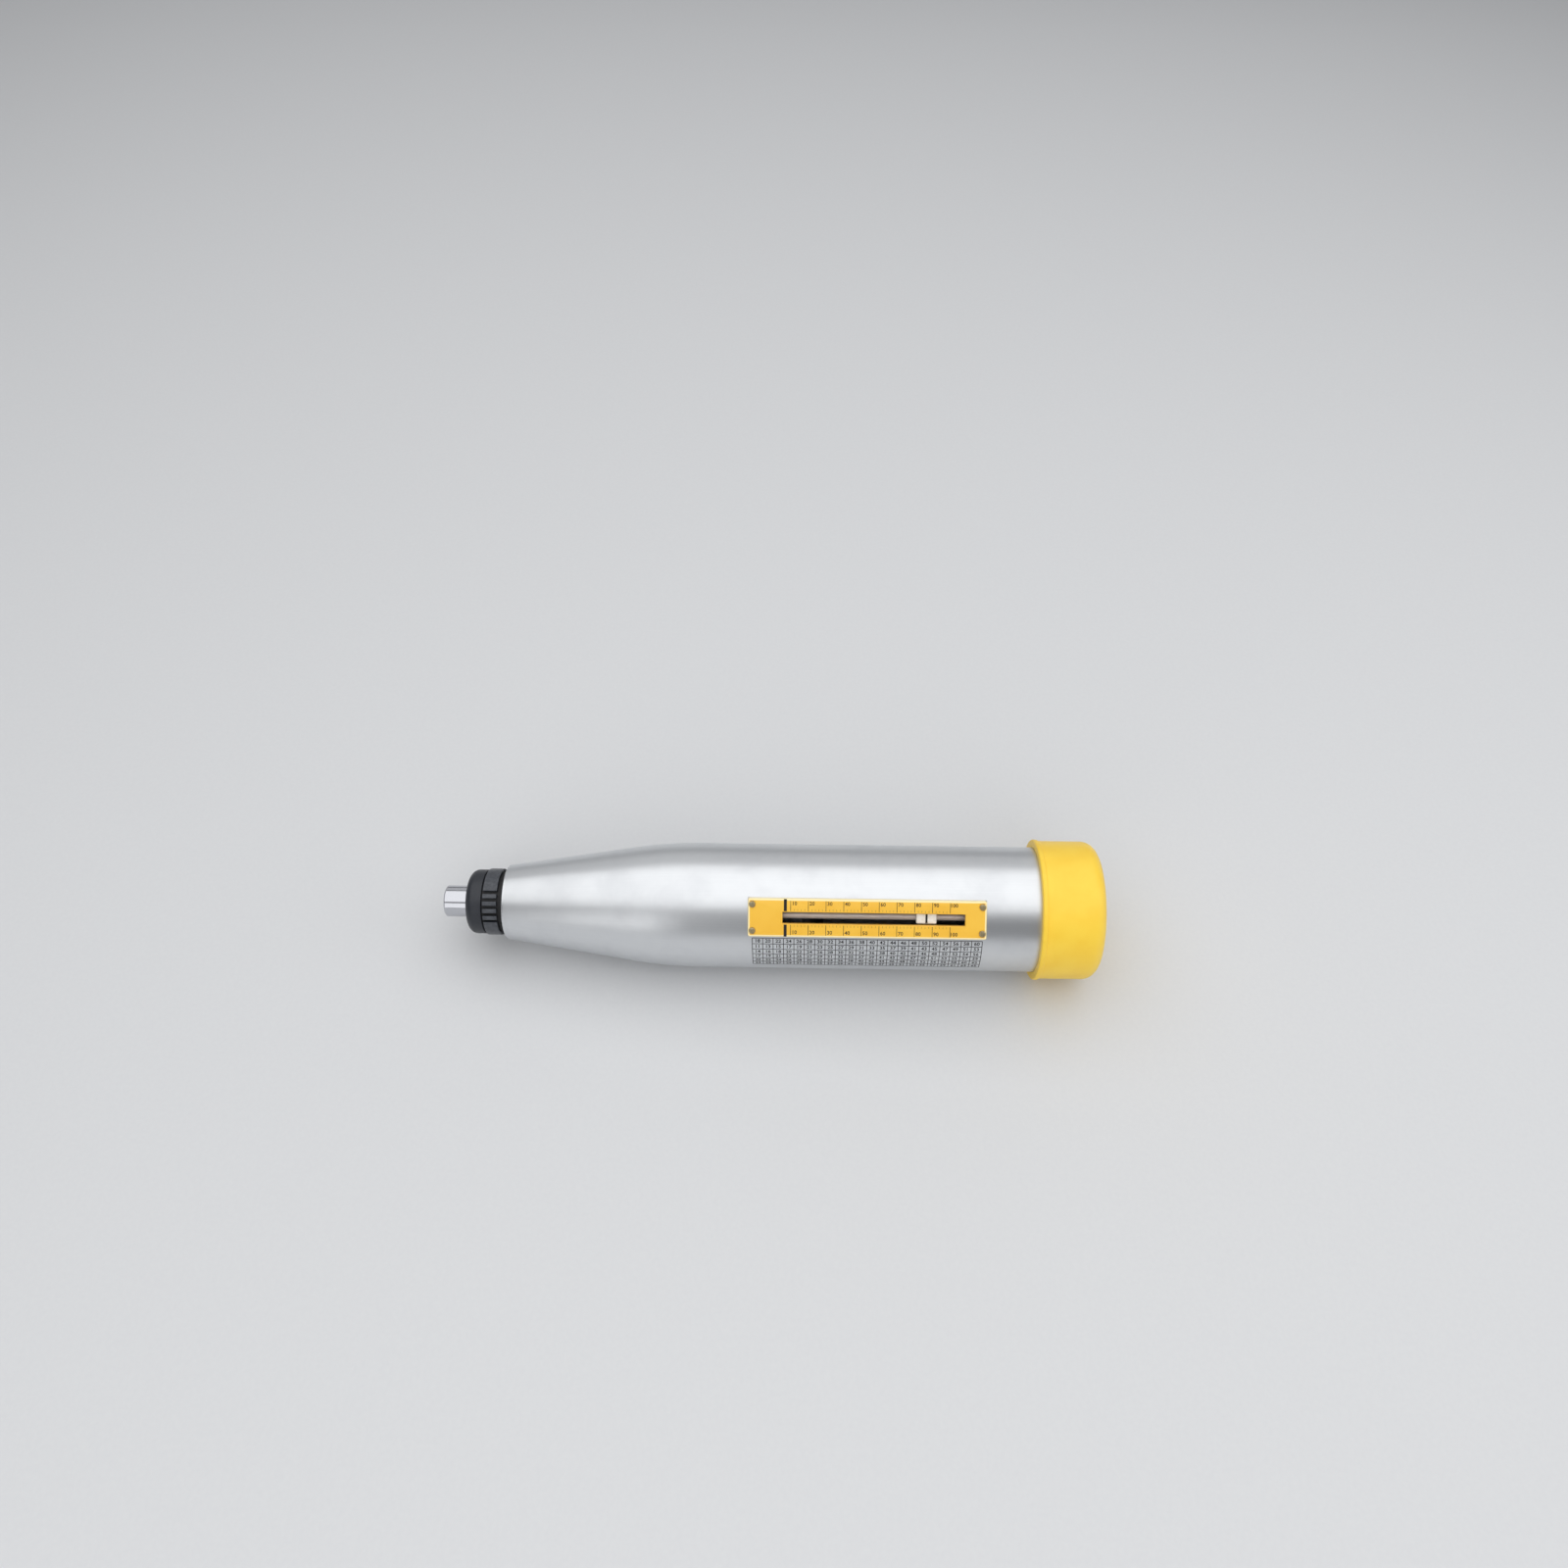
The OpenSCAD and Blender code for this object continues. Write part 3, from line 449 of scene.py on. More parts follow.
marked_line = coil.add("GeometryNodeStoreNamedAttribute", None, {
    "Geometry": placed_line, "Name": "share", "Value": share})
section = coil.add("GeometryNodeCurvePrimitiveCircle", None, {
    "Resolution": WIRE_SIDES, "Radius": coil.math("MULTIPLY", coil.size("Wire"), 0.5)})
wire_mesh = coil.add("GeometryNodeCurveToMesh", None, {
    "Curve": marked_line, "Profile Curve": section, "Fill Caps": True})
laid = coil.add("GeometryNodeTransform", None, {
    "Geometry": wire_mesh, "Rotation": (0, math.radians(90), 0),
    "Translation": coil.add("ShaderNodeCombineXYZ", None, {"X": coil.size("Start")})})
wound_spring = coil.close(laid, spring_wire)

# Each long spring: the bodies of its first and last turn, coil radius, wire, first and last station, turns.
# The closed turns at its ends stay shut, and each point of the free turns is marked with its share of them.
for node, first, last, radius, wire, start, end, turns in [
        ("impact_spring", "tube", "striker_mass", 9.8, 1.8, 22.9, 109.1, 28),
        ("return_spring", "carriage", "tube", 13.6, 1.6, 247.8, 268.2, 8)]:
    spring = grow(node + "_wound", wound_spring, Radius=radius, Wire=wire, Start=start, End=end, Turns=turns)
    coated(spring, "spring_steel", spring_wire, node, sharp=WIRE_SHARP)
    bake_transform(spring)
buffer_spring = grow("buffer_spring_wound", wound_spring, Radius=3.4, Wire=1.0, Start=45.5, End=59.5, Turns=7)
done(buffer_spring, "carriage", "spring_steel", spring_wire, "buffer_spring", sharp=WIRE_SHARP)

# Guide bar and striker: the ground bar runs from the plunger's bore to the disc, and the bored striker, a
# heavy steel turning with a hook groove behind its mass, flies along it.
dress(steel, "guide_bar", "striker")

# Guide disc with its pawl: a turned disc with two lugs, and between them the hardened pawl on its pin, which
# hooks the striker's groove. A nut locks the bar, and a small spring in the disc presses the pawl shut.
hardened, shader, spot = finish("hardened_steel", Metallic=1.0)
scale_bloom = spot.noise(0.35, 4, 0.6)
feed(shader, Base_Color=scale_bloom.between(0.38, 0.66).tint(rgb(104, 106, 112), rgb(142, 142, 143)),
     Roughness=0.34 + scale_bloom * 0.14, Bump=scale_bloom * 0.006)
dress(steel, "guide_disc", "bar_nut", "pawl_pin")
dress(hardened, "pawl")
EAR_Y, EAR_SEAT_X = 18.7, 247


def moved(piece, x, y, z):
    """Shifts a piece as drawn."""
    piece.data.transform(Matrix.Translation((x, y, z)))
    return piece


pawl_spring = grow("pawl_spring_wound", wound_spring, Radius=1.2, Wire=0.6, Start=240.3, End=246.7, Turns=5)
moved(pawl_spring, 0, EAR_Y, 0)
done(pawl_spring, "carriage", "spring_steel", spring_wire, "pawl_spring", sharp=WIRE_SHARP)
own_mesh(pawl_spring)

# Nose cap: moulded from charcoal nylon and screwed onto the tube's neck by its grip ring. The ring has three
# groups of slots for the fingers, smooth lands between them, and a groove that sets it off from the front.
CAP_R, RING_R, SLOT_FLOOR_R, SKIRT_R, CAP_HOLE_R, CAP_BORE_R = 14.3, 14.8, 13.5, 13.4, 7.4, 12.0
FRONT_WALL, FRONT_END, RING_FROM, RING_TO, CAP_END = 2.2, 7.5, 8.2, 14.5, 16.7
HOLE_EDGE, FRONT_ROUND, CAP_EDGE, GRIP_EDGE = 0.45, 3.5, 0.3, 0.4
GROUPS, SLOTS, SLOT_STEP, SLOT_W = 3, 5, math.radians(13), 1.4
# The slots' floor stops this far inside the ring's ends, and the ring's root lies this far under the skirt.
FLOOR_INSET, ROOT_DEPTH = 0.05, 0.5
charcoal, shader, spot = finish("charcoal_nylon", Specular_IOR_Level=0.5)
mould_grain = spot.noise(2.6, 4, 0.6)
handling = spot.noise(0.55, 5, 0.68).between(0.36, 0.68)
off_axis = spot.off_axis()
rubbed = off_axis.between(CAP_R, RING_R - 0.05) * (0.5 + handling * 0.5)
recessed = 1 - off_axis.between(SLOT_FLOOR_R, CAP_R - 0.1)
# Painted shade: the slot floors, the groove behind the front and the skirt are painted near black and
# rougher, as if in shadow.
recess_shade = spot.part("X").between(RING_FROM - 0.9, RING_FROM - 0.6) * recessed
worn = (rubbed * 0.9 + handling * 0.1).tint(rgb(33, 36, 43), rgb(74, 77, 83))
feed(shader, Base_Color=recess_shade.tint(worn, rgb(18, 18, 20)), Bump=mould_grain * 0.018 + handling * 0.004,
     Roughness=0.32 + mould_grain * 0.14 + handling * 0.06 - rubbed * 0.1 + recess_shade * 0.2)

floor_from, floor_to = RING_FROM + FLOOR_INSET, RING_TO - FLOOR_INSET
nose_cap = turned("nose_cap_body", [
    (0, CAP_HOLE_R, HOLE_EDGE), (0, CAP_R, FRONT_ROUND), (FRONT_END, CAP_R, CAP_EDGE),
    (FRONT_END, SKIRT_R, 0), (floor_from, SKIRT_R, 0), (floor_from, SLOT_FLOOR_R, 0),
    (floor_to, SLOT_FLOOR_R, 0), (floor_to, SKIRT_R, 0), (CAP_END, SKIRT_R, CAP_EDGE),
    (CAP_END, CAP_BORE_R, 0), (FRONT_WALL, CAP_BORE_R, 0), (FRONT_WALL, CAP_HOLE_R, 0)])
done(nose_cap, "tube", "nose_plastic", charcoal, "nose_cap")


def softened(piece, width, steps=3, angle=30):
    """Breaks a piece's sharp edges with a small rounding."""
    edge = piece.modifiers.new("edges", "BEVEL")
    edge.width, edge.segments, edge.use_clamp_overlap = width, steps, True
    edge.limit_method, edge.angle_limit = "ANGLE", math.radians(angle)
    settled(piece)
    welded(piece.data, CLEAN)
    return piece


ring_root_r = SKIRT_R - ROOT_DEPTH
ring_outline = [(RING_FROM, ring_root_r, 0), (RING_FROM, RING_R, 0), (RING_TO, RING_R, 0),
                (RING_TO, ring_root_r, 0)]
slot_half = SLOT_W / 2 / RING_R
rib = turned("rib", ring_outline, around=6, start=slot_half - SLOT_STEP / 2,
             sweep=SLOT_STEP - 2 * slot_half)
softened(rib, GRIP_EDGE)
grip = Sketch("grip_ribs", Rib="Object", Groups="Int", Ribs="Int", Step="Float")
each = grip.add("GeometryNodeInputIndex")
group = grip.math("FLOOR", grip.math("DIVIDE", each, grip.size("Ribs")))
place = grip.math("SUBTRACT", each, grip.math("MULTIPLY", group, grip.size("Ribs")))
middle_rib = grip.math("DIVIDE", grip.math("SUBTRACT", grip.size("Ribs"), 1), 2)
swing = grip.math("MULTIPLY", grip.math("SUBTRACT", place, middle_rib), grip.size("Step"))
share = grip.math("MULTIPLY", group, grip.math("DIVIDE", 2 * math.pi, grip.size("Groups")))
rib_count = grip.math("MULTIPLY", grip.size("Groups"), grip.size("Ribs"))
ribs = grip.add("GeometryNodeInstanceOnPoints", None, {
    "Points": grip.add("GeometryNodePoints", None, {"Count": rib_count}),
    "Instance": grip.add("GeometryNodeObjectInfo", None, {"Object": grip.size("Rib")}, out="Geometry"),
    "Rotation": grip.add("FunctionNodeEulerToRotation", None, {0: grip.add(
        "ShaderNodeCombineXYZ", None, {"X": grip.math("ADD", swing, share)})})})
grip_ribs = grow("grip_ribs", grip.close(ribs, charcoal), Rib=rib, Groups=GROUPS, Ribs=SLOTS - 1,
                 Step=SLOT_STEP)
bpy.data.objects.remove(rib)
done(grip_ribs, "tube", "nose_plastic", charcoal)
group_half = (SLOTS - 1) / 2 * SLOT_STEP + slot_half
for k in range(GROUPS):
    land = turned(f"grip_land_{k}", ring_outline, around=48, start=2 * math.pi / GROUPS * k + group_half,
                  sweep=2 * math.pi / GROUPS - 2 * group_half)
    done(softened(land, GRIP_EDGE), "tube", "nose_plastic", charcoal)

# Tail cap: moulded in yellow and screwed over the tube's end, with a lip at its front and a well rounded rear
# edge. Its end wall has a round recess for the lock nut of the trip screw.
TAIL_FROM, LIP_W, CHAMBER_END, TAIL_END = 250.2, 2.2, 269, 278
TAIL_BORE_R, LIP_R, TAIL_R, CHAMBER_R = 27.55, 31.0, 30.4, 19.3
TAIL_ROUND, MOUTH_EDGE, LIP_FRONT_EDGE, LIP_BACK_EDGE, LIP_FOOT, CHAMBER_EDGE = 6.5, 0.3, 0.7, 0.45, 0.12, 0.5
TRIP_Y, TRIP_HOLE_R, NUT_X, RECESS_R = 10.3, 2.05, 273, 5.5
yellow, shader, spot = finish("yellow_moulding", Specular_IOR_Level=0.35, Coat_Roughness=0.22)
skin = spot.noise(1.9, 4, 0.55)
mottle = spot.noise(0.11, 3)
scuffs = spot.noise(0.5, 3, 0.6, (0.35, 1.6, 1.6)).between(0.6, 0.78)
uneven = mottle.between(0.3, 0.75) * 0.6 + scuffs * 0.25
feed(shader, Base_Color=uneven.tint(rgb(252, 212, 72), rgb(247, 201, 58)),
     Roughness=0.38 + skin * 0.1 + scuffs * 0.12, Coat_Weight=0.12 - scuffs * 0.08, Bump=skin * 0.012)


def axle(name, y, r, start, end, around=64):
    """A round bar along the axis at a distance from it."""
    return moved(turned(name, [(start, 0, 0), (start, r, 0), (end, r, 0), (end, 0, 0)], around), 0, y, 0)


tail_cap = turned("tail_cap_moulding", [
    (TAIL_FROM, TAIL_BORE_R, MOUTH_EDGE), (TAIL_FROM, LIP_R, LIP_FRONT_EDGE),
    (TAIL_FROM + LIP_W, LIP_R, LIP_BACK_EDGE), (TAIL_FROM + LIP_W, TAIL_R, LIP_FOOT),
    (TAIL_END, TAIL_R, TAIL_ROUND), (TAIL_END, 0, 0), (CHAMBER_END, 0, 0),
    (CHAMBER_END, CHAMBER_R, CHAMBER_EDGE), (TUBE_END, CHAMBER_R, 0), (TUBE_END, TAIL_BORE_R, 0)])
before_wall, behind_wall = CHAMBER_END - 4, TAIL_END + 7
cut(tail_cap, axle("hole", TRIP_Y, TRIP_HOLE_R, before_wall, behind_wall),
    axle("recess", TRIP_Y, RECESS_R, NUT_X, behind_wall))
done(tail_cap, "tube", "tail_plastic", yellow, "tail_cap")

# Trip screw and its nut: a plated set screw through the tail cap's end wall, turned by its slot until it
# trips the pawl at the right travel, and a hexagon nut that locks it in the recess.
TRIP_TIP, TRIP_END, TRIP_R, TRIP_EDGE = 252.8, 277, 2, 0.4
DRIVE_DEPTH, DRIVE_HALF_W = 1, 0.4
NUT_T, NUT_FLAT_R, NUT_EDGE = 2.8, 3.5, 0.3
plated, shader, spot = finish("plated_steel", Metallic=1.0)
passivation = spot.noise(0.6, 3)
feed(shader, Base_Color=passivation.tint(rgb(190, 191, 190), rgb(214, 214, 212)),
     Roughness=0.24 + passivation * 0.16, Bump=passivation * 0.003)
trip_screw = turned("trip_screw_slotted", [
    (TRIP_TIP, 0, 0), (TRIP_TIP, TRIP_R, TRIP_EDGE), (TRIP_END, TRIP_R, TRIP_EDGE),
    (TRIP_END, 0, 0)], around=64)
cut(trip_screw, block("slot", (TRIP_END - DRIVE_DEPTH, -DRIVE_HALF_W, -2 * TRIP_R),
                      (TRIP_END + 2, DRIVE_HALF_W, 2 * TRIP_R)))
done(moved(trip_screw, 0, TRIP_Y, 0), "tube", "screw_steel", plated, "trip_screw")
nut_corner_r = NUT_FLAT_R / math.cos(math.radians(30))
lock_nut = axle("lock_nut_hexagon", TRIP_Y, nut_corner_r, NUT_X, NUT_X + NUT_T, around=6)
cut(softened(lock_nut, NUT_EDGE), axle("bore", TRIP_Y, TRIP_HOLE_R, NUT_X - 3, NUT_X + 7))
done(lock_nut, "tube", "screw_steel", plated, "lock_nut")

# Lock button: a turned aluminium bush pressed into the tube's far side, a black push button in it, and the
# small spring that lifts the button. Pressed, its stem holds the plunger in.
BUSH_IN, BUSH_FLOOR, FLANGE_LOW, FLANGE_TOP, BUSH_TOP, BUTTON_TOP = 23.6, 25.1, 29.6, 30.7, 31.4, 34.2
BUSH_R, BUSH_BORE_R, COLLAR_R, COLLAR_T, STEM_HOLE_R = 6, 5.2, 4.3, 0.6, 2.6
STEM_R, FLANGE_R, BUTTON_R, STEM_START = 2.5, 5.1, 4.2, 0.1
BUSH_EDGE, COLLAR_EDGE, STEM_EDGE, BUTTON_ROUND = 0.6, 0.25, 0.3, 0.9
# Pressed, the button moves in the frame towards the axis and the scale's side.
turned_aluminium, shader, spot = finish("turned_aluminium", Metallic=1.0)
tool_lines = spot.noise(1.0, 2, 0.5, (0.6, 0.6, 6))
feed(shader, Base_Color=tool_lines.tint(rgb(203, 205, 207), rgb(186, 188, 190)),
     Roughness=0.27 + tool_lines * 0.14, Bump=tool_lines * 0.004)
black_button, shader, spot = finish("black_button_plastic", Specular_IOR_Level=0.45)
thumbed = spot.noise(0.7, 3)
feed(shader, Base_Color=thumbed.tint(rgb(38, 38, 40), rgb(52, 52, 54)), Roughness=0.36 + thumbed * 0.16,
     Bump=spot.noise(3.0, 3) * 0.01)


def across(piece):
    """Turns a piece drawn along the axis so that it points out of the tube at the lock button."""
    piece.data.transform(Matrix.Translation((BUTTON_X, 0, 0)) @ Matrix.Rotation(math.pi / 2, 4, "Y"))
    return piece


bush = turned("button_bush_turned", [
    (BUSH_IN, STEM_HOLE_R, 0), (BUSH_IN, BUSH_R, 0), (BUSH_TOP, BUSH_R, BUSH_EDGE),
    (BUSH_TOP, COLLAR_R, COLLAR_EDGE), (BUSH_TOP - COLLAR_T, COLLAR_R, 0),
    (BUSH_TOP - COLLAR_T, BUSH_BORE_R, 0), (BUSH_FLOOR, BUSH_BORE_R, 0),
    (BUSH_FLOOR, STEM_HOLE_R, 0)], around=96)
done(across(bush), "tube", "button_metal", turned_aluminium, "button_bush")
stem_low = BUSH_IN + STEM_START
button = turned("push_button_moulded", [
    (stem_low, 0, 0), (stem_low, STEM_R, STEM_EDGE), (FLANGE_LOW, STEM_R, 0), (FLANGE_LOW, FLANGE_R, 0),
    (FLANGE_TOP, FLANGE_R, 0), (FLANGE_TOP, BUTTON_R, 0), (BUTTON_TOP, BUTTON_R, BUTTON_ROUND),
    (BUTTON_TOP, 0, 0)], around=96)
done(across(button), "lock_button", "button_plastic", black_button, "push_button")
button_spring = grow("button_spring_wound", wound_spring, Radius=3.2, Wire=0.5, Start=25.4, End=29.3,
                     Turns=4.5)
done(across(button_spring), "tube", "spring_steel", spring_wire, "button_spring", sharp=WIRE_SHARP)
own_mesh(button_spring)

# Rider's rod: a ground steel rod, oiled dark brown, in two brass blocks that the plate's screws clamp under
# the tube's wall. It shows through the plate's slot.
ROD_R, ROD_Z, ROD_EDGE = 1.5, 21.4, 0.2
ROD_FROM, ROD_TO = PLATE_FROM + SCREW_INSET, PLATE_TO - SCREW_INSET
browned, shader, spot = finish("browned_rod_steel", Metallic=0.35)
rubs = spot.noise(1.0, 3, 0.6, (0.12, 2.5, 2.5))
feed(shader, Base_Color=rubs.between(0.35, 0.7).tint(rgb(208, 196, 187), rgb(226, 217, 210)),
     Roughness=0.3 + rubs * 0.1, Bump=rubs * 0.002)
rider_rod = turned("rider_rod_ground", [
    (ROD_FROM, 0, 0), (ROD_FROM, ROD_R, ROD_EDGE), (ROD_TO, ROD_R, ROD_EDGE), (ROD_TO, 0, 0)], around=64)
done(moved(rider_rod, 0, 0, ROD_Z), "tube", "rod_steel", browned, "rider_rod")
brass, shader, spot = finish("milled_brass", Metallic=1.0)
tarnish = spot.noise(0.4, 4)
feed(shader, Base_Color=tarnish.between(0.35, 0.7).tint(rgb(214, 182, 104), rgb(184, 148, 78)),
     Roughness=0.28 + tarnish * 0.16, Bump=spot.noise(1.0, 2, 0.5, (5, 0.4, 0.4)) * 0.004)
dress(brass, "rod_block_front", "rod_block_rear")

# Rider: a white moulded block on the rod, split by a black index line, with a bent spring leaf below it that
# the rebounding striker takes along. It stays where it is left.
RIDER_FROM, RIDER_LEN, RIDER_HALF_W, RIDER_LOW, RIDER_TOP, RIDER_EDGE = 197.3, 8.6, 2.2, 18.3, 25.9, 0.45
INDEX_X, INDEX_HALF_W, GROOVE_DEPTH = RIDER_FROM + RIDER_LEN / 2, 0.45, 0.6
# The cuts for the rod and the groove run out past the block to these stations, this half length and height.
RIDER_PLAY, WAY_RUN, GROOVE_RUN, GROOVE_TOP = 0.05, (190, 212), 5, 30
# The inked line fills the groove but for these gaps at its sides, ends and top, and reaches under its floor.
INK_SIDE, INK_END, INK_LOW, INK_UNDER, INK_EDGE = 0.01, 0.3, 0.15, 0.1, 0.06
white, shader, spot = finish("white_moulding", Specular_IOR_Level=0.5)
aged = spot.noise(0.8, 3)
feed(shader, Base_Color=aged.between(0.35, 0.7).tint(rgb(244, 243, 238), rgb(232, 230, 221)),
     Roughness=0.32 + aged * 0.12, Bump=spot.noise(3, 3) * 0.006)
rider = block("rider_block", (RIDER_FROM, -RIDER_HALF_W, RIDER_LOW),
              (RIDER_FROM + RIDER_LEN, RIDER_HALF_W, RIDER_TOP))
way = axle("way", 0, ROD_R + RIDER_PLAY, *WAY_RUN, around=48)
groove = block("groove", (INDEX_X - INDEX_HALF_W, -GROOVE_RUN, RIDER_TOP - GROOVE_DEPTH),
               (INDEX_X + INDEX_HALF_W, GROOVE_RUN, GROOVE_TOP))
cut(softened(rider, RIDER_EDGE), moved(way, 0, 0, ROD_Z), groove)
done(rider, "reading_rider", "rider_plastic", white, "rider")
ink, shader, spot = finish("printing_ink", Specular_IOR_Level=0.4)
coverage = spot.noise(4, 3)
feed(shader, Base_Color=coverage.between(0.3, 0.7).tint(rgb(24, 23, 24), rgb(40, 38, 38)),
     Roughness=0.4 + coverage * 0.2)
line_half_w, line_half_len = INDEX_HALF_W - INK_SIDE, RIDER_HALF_W - INK_END
line_low, line_top = RIDER_TOP - GROOVE_DEPTH - INK_UNDER, RIDER_TOP - INK_LOW
index_line = block("rider_index", (INDEX_X - line_half_w, -line_half_len, line_low),
                   (INDEX_X + line_half_w, line_half_len, line_top))
done(softened(index_line, INK_EDGE), "reading_rider", "rider_plastic", ink)
dress(spring_wire, "rider_leaf")

# Scale plate: an aluminium strip enamelled orange-yellow, with a painted cream highlight on its bevelled
# edges and a long slot, seated on the tube's flat. It shows the rider's place.
PLATE_HALF_W, PLATE_LOW, PLATE_TOP, PLATE_BEVEL = 8.2, SEAT_Z, 28.45, 0.4
PLATE_CORNER, PLATE_CORNER_LEAST, SLOT_CORNER = 0.8, 0.2, 0.3
SLOT_FROM, SLOT_TO, SLOT_HALF_W = 140.4, 217.8, 2.5
BORDER_W, BORDER_FADE = 0.7, 0.1
plate_middle, plate_half_len = (PLATE_FROM + PLATE_TO) / 2, (PLATE_TO - PLATE_FROM) / 2
enamel, shader, spot = finish("orange_enamel", Specular_IOR_Level=0.5, Coat_Roughness=0.15)
peel = spot.noise(0.9, 3)
fade = spot.noise(0.07, 3).between(0.3, 0.75)
from_middle = spot.math("ABSOLUTE", spot.part("Y"))
from_centre = spot.math("ABSOLUTE", spot.part("X") - plate_middle)
# Painted highlight: a pale cream band along the plate's edges, where the bevel catches the light, with less
# coat on it.
border_side, border_end = PLATE_HALF_W - BORDER_W, plate_half_len - BORDER_W
edge_highlight = spot.math("MAXIMUM", from_middle.between(border_side - BORDER_FADE, border_side),
                   from_centre.between(border_end - BORDER_FADE, border_end))
colour = fade.tint(rgb(246, 194, 66), rgb(241, 184, 54))
feed(shader, Base_Color=edge_highlight.tint(colour, rgb(255, 236, 178)), Roughness=0.3 + peel * 0.12,
     Coat_Weight=0.3 - edge_highlight * 0.2, Bump=peel * 0.008)


def rounded_box_line(middle, half_x, half_y, r, steps=8):
    """The points of an upright rectangle with round corners, always as many for the same steps."""
    points = []
    for k, (sx, sy) in enumerate([(1, 1), (-1, 1), (-1, -1), (1, -1)]):
        for i in range(steps + 1):
            a = math.radians(90) * (k + i / steps)
            points.append((middle + sx * (half_x - r) + r * math.cos(a), sy * (half_y - r) + r * math.sin(a)))
    return points


def slotted_plate(name, bevel):
    """The plate with its slot: one bevelled section led round both outlines."""
    way, way_half = (SLOT_FROM + SLOT_TO) / 2, (SLOT_TO - SLOT_FROM) / 2
    thickness = PLATE_TOP - PLATE_LOW
    swings = [math.radians(30 * k) for k in range(4)]
    arc = [(bevel * (1 - math.cos(a)), bevel * (1 - math.sin(a))) for a in swings]
    lines = []
    for inset, drop in [(0, thickness)] + arc:
        corner = max(PLATE_CORNER - inset, PLATE_CORNER_LEAST)
        lines.append([(x, y, PLATE_TOP - drop) for x, y in rounded_box_line(
            plate_middle, plate_half_len - inset, PLATE_HALF_W - inset, corner)])
    for inset, drop in [(bevel / 2, 0), (0, bevel / 2), (0, thickness)]:
        lines.append([(x, y, PLATE_TOP - drop) for x, y in rounded_box_line(
            way, way_half + inset, SLOT_HALF_W + inset, SLOT_CORNER + inset)])
    n, faces = len(lines[0]), []
    for i in range(len(lines)):
        here, there = i * n, (i + 1) % len(lines) * n
        faces += [(here + j, here + (j + 1) % n, there + (j + 1) % n, there + j) for j in range(n)]
    return mesh_piece(name, [p for line in lines for p in line], faces)


SINK_R, SINK_DEPTH, SINK_CLEAR = 1.6, 0.3, 2
scale_plate = slotted_plate("scale_plate_enamelled", PLATE_BEVEL)
cut(scale_plate, *[peg("sink", x, y, SINK_R, PLATE_TOP - SINK_DEPTH, PLATE_TOP + SINK_CLEAR, around=40)
                   for x, y in SCREW_SPOTS])
done(scale_plate, "tube", "scale_enamel", enamel, "scale_plate")

# Scale print: black ink on the enamel. A heavy bar at the start of the travel, a line and a number at every
# ten of the scale in both bands, and fine lines at every two beside the slot.
SCALE_FIRST, SCALE_PITCH, SCALE_LINES, FINE_PARTS = 143.85, 7.5, 10, 5
BAR_X, BAR_W, BAR_SHORT, BAR_OUT = 141.6, 1.3, 0.5, 0.1
TEN_W, TEN_SHORT, TEN_IN, FINE_W, FINE_LEN, FINE_OUT = 0.22, 1.3, 0.2, 0.1, 0.9, 0.9
NUMBER_H, NUMBER_WEIGHT, NUMBER_AHEAD, NUMBER_Y = 1.6, 0.03, 1.6, 6.2
INK_T, FONT_SHARE = 0.05, 1.4
rule = Sketch("ruled_lines", First="Float", Pitch="Float", Count="Int", Width="Float", Length="Float",
              Middle="Float", Level="Float", Thickness="Float", Cuts="Int")
line_spots = rule.add("GeometryNodeMeshLine", None, {
    "Count": rule.size("Count"), "Start Location": rule.add("ShaderNodeCombineXYZ", None, {
        "X": rule.size("First"), "Y": rule.size("Middle"), "Z": rule.size("Level")}),
    "Offset": rule.add("ShaderNodeCombineXYZ", None, {"X": rule.size("Pitch")})})
stroke = rule.add("GeometryNodeMeshCube", None, {
    "Size": rule.add("ShaderNodeCombineXYZ", None, {
        "X": rule.size("Width"), "Y": rule.size("Length"), "Z": rule.size("Thickness")}),
    "Vertices Y": rule.size("Cuts")})
ruled = rule.close(rule.add("GeometryNodeInstanceOnPoints", None, {
    "Points": line_spots, "Instance": stroke}), ink)


def gathered(name, work):
    """Makes one piece of what a bmesh has gathered."""
    mesh = bpy.data.meshes.new(name)
    work.to_mesh(mesh)
    work.free()
    return placed(name, mesh)


def bound(name, pieces):
    """Joins like pieces into one."""
    work = bmesh.new()
    for piece in pieces:
        work.from_mesh(piece.data)
        bpy.data.objects.remove(piece)
    return gathered(name, work)


def figures(name, marks, height, level, weight):
    """Plain numbers in thin raised ink, each centred on its place, their strokes widened by the weight."""
    curve = bpy.data.curves.new(name, "FONT")
    curve.size, curve.extrude, curve.resolution_u, curve.offset = height * FONT_SHARE, INK_T / 2, 2, weight
    curve.align_x, curve.align_y = "CENTER", "CENTER"
    writer = placed(name, curve)
    work = bmesh.new()
    for number, x, y in marks:
        curve.body = str(number)
        graph = bpy.context.evaluated_depsgraph_get()
        graph.update()
        mesh = bpy.data.meshes.new_from_object(writer.evaluated_get(graph))
        mesh.transform(Matrix.Translation((x, y, level)))
        work.from_mesh(mesh)
        bpy.data.meshes.remove(mesh)
    bpy.data.objects.remove(writer)
    bmesh.ops.remove_doubles(work, verts=work.verts, dist=WELD)
    return gathered(name, work)


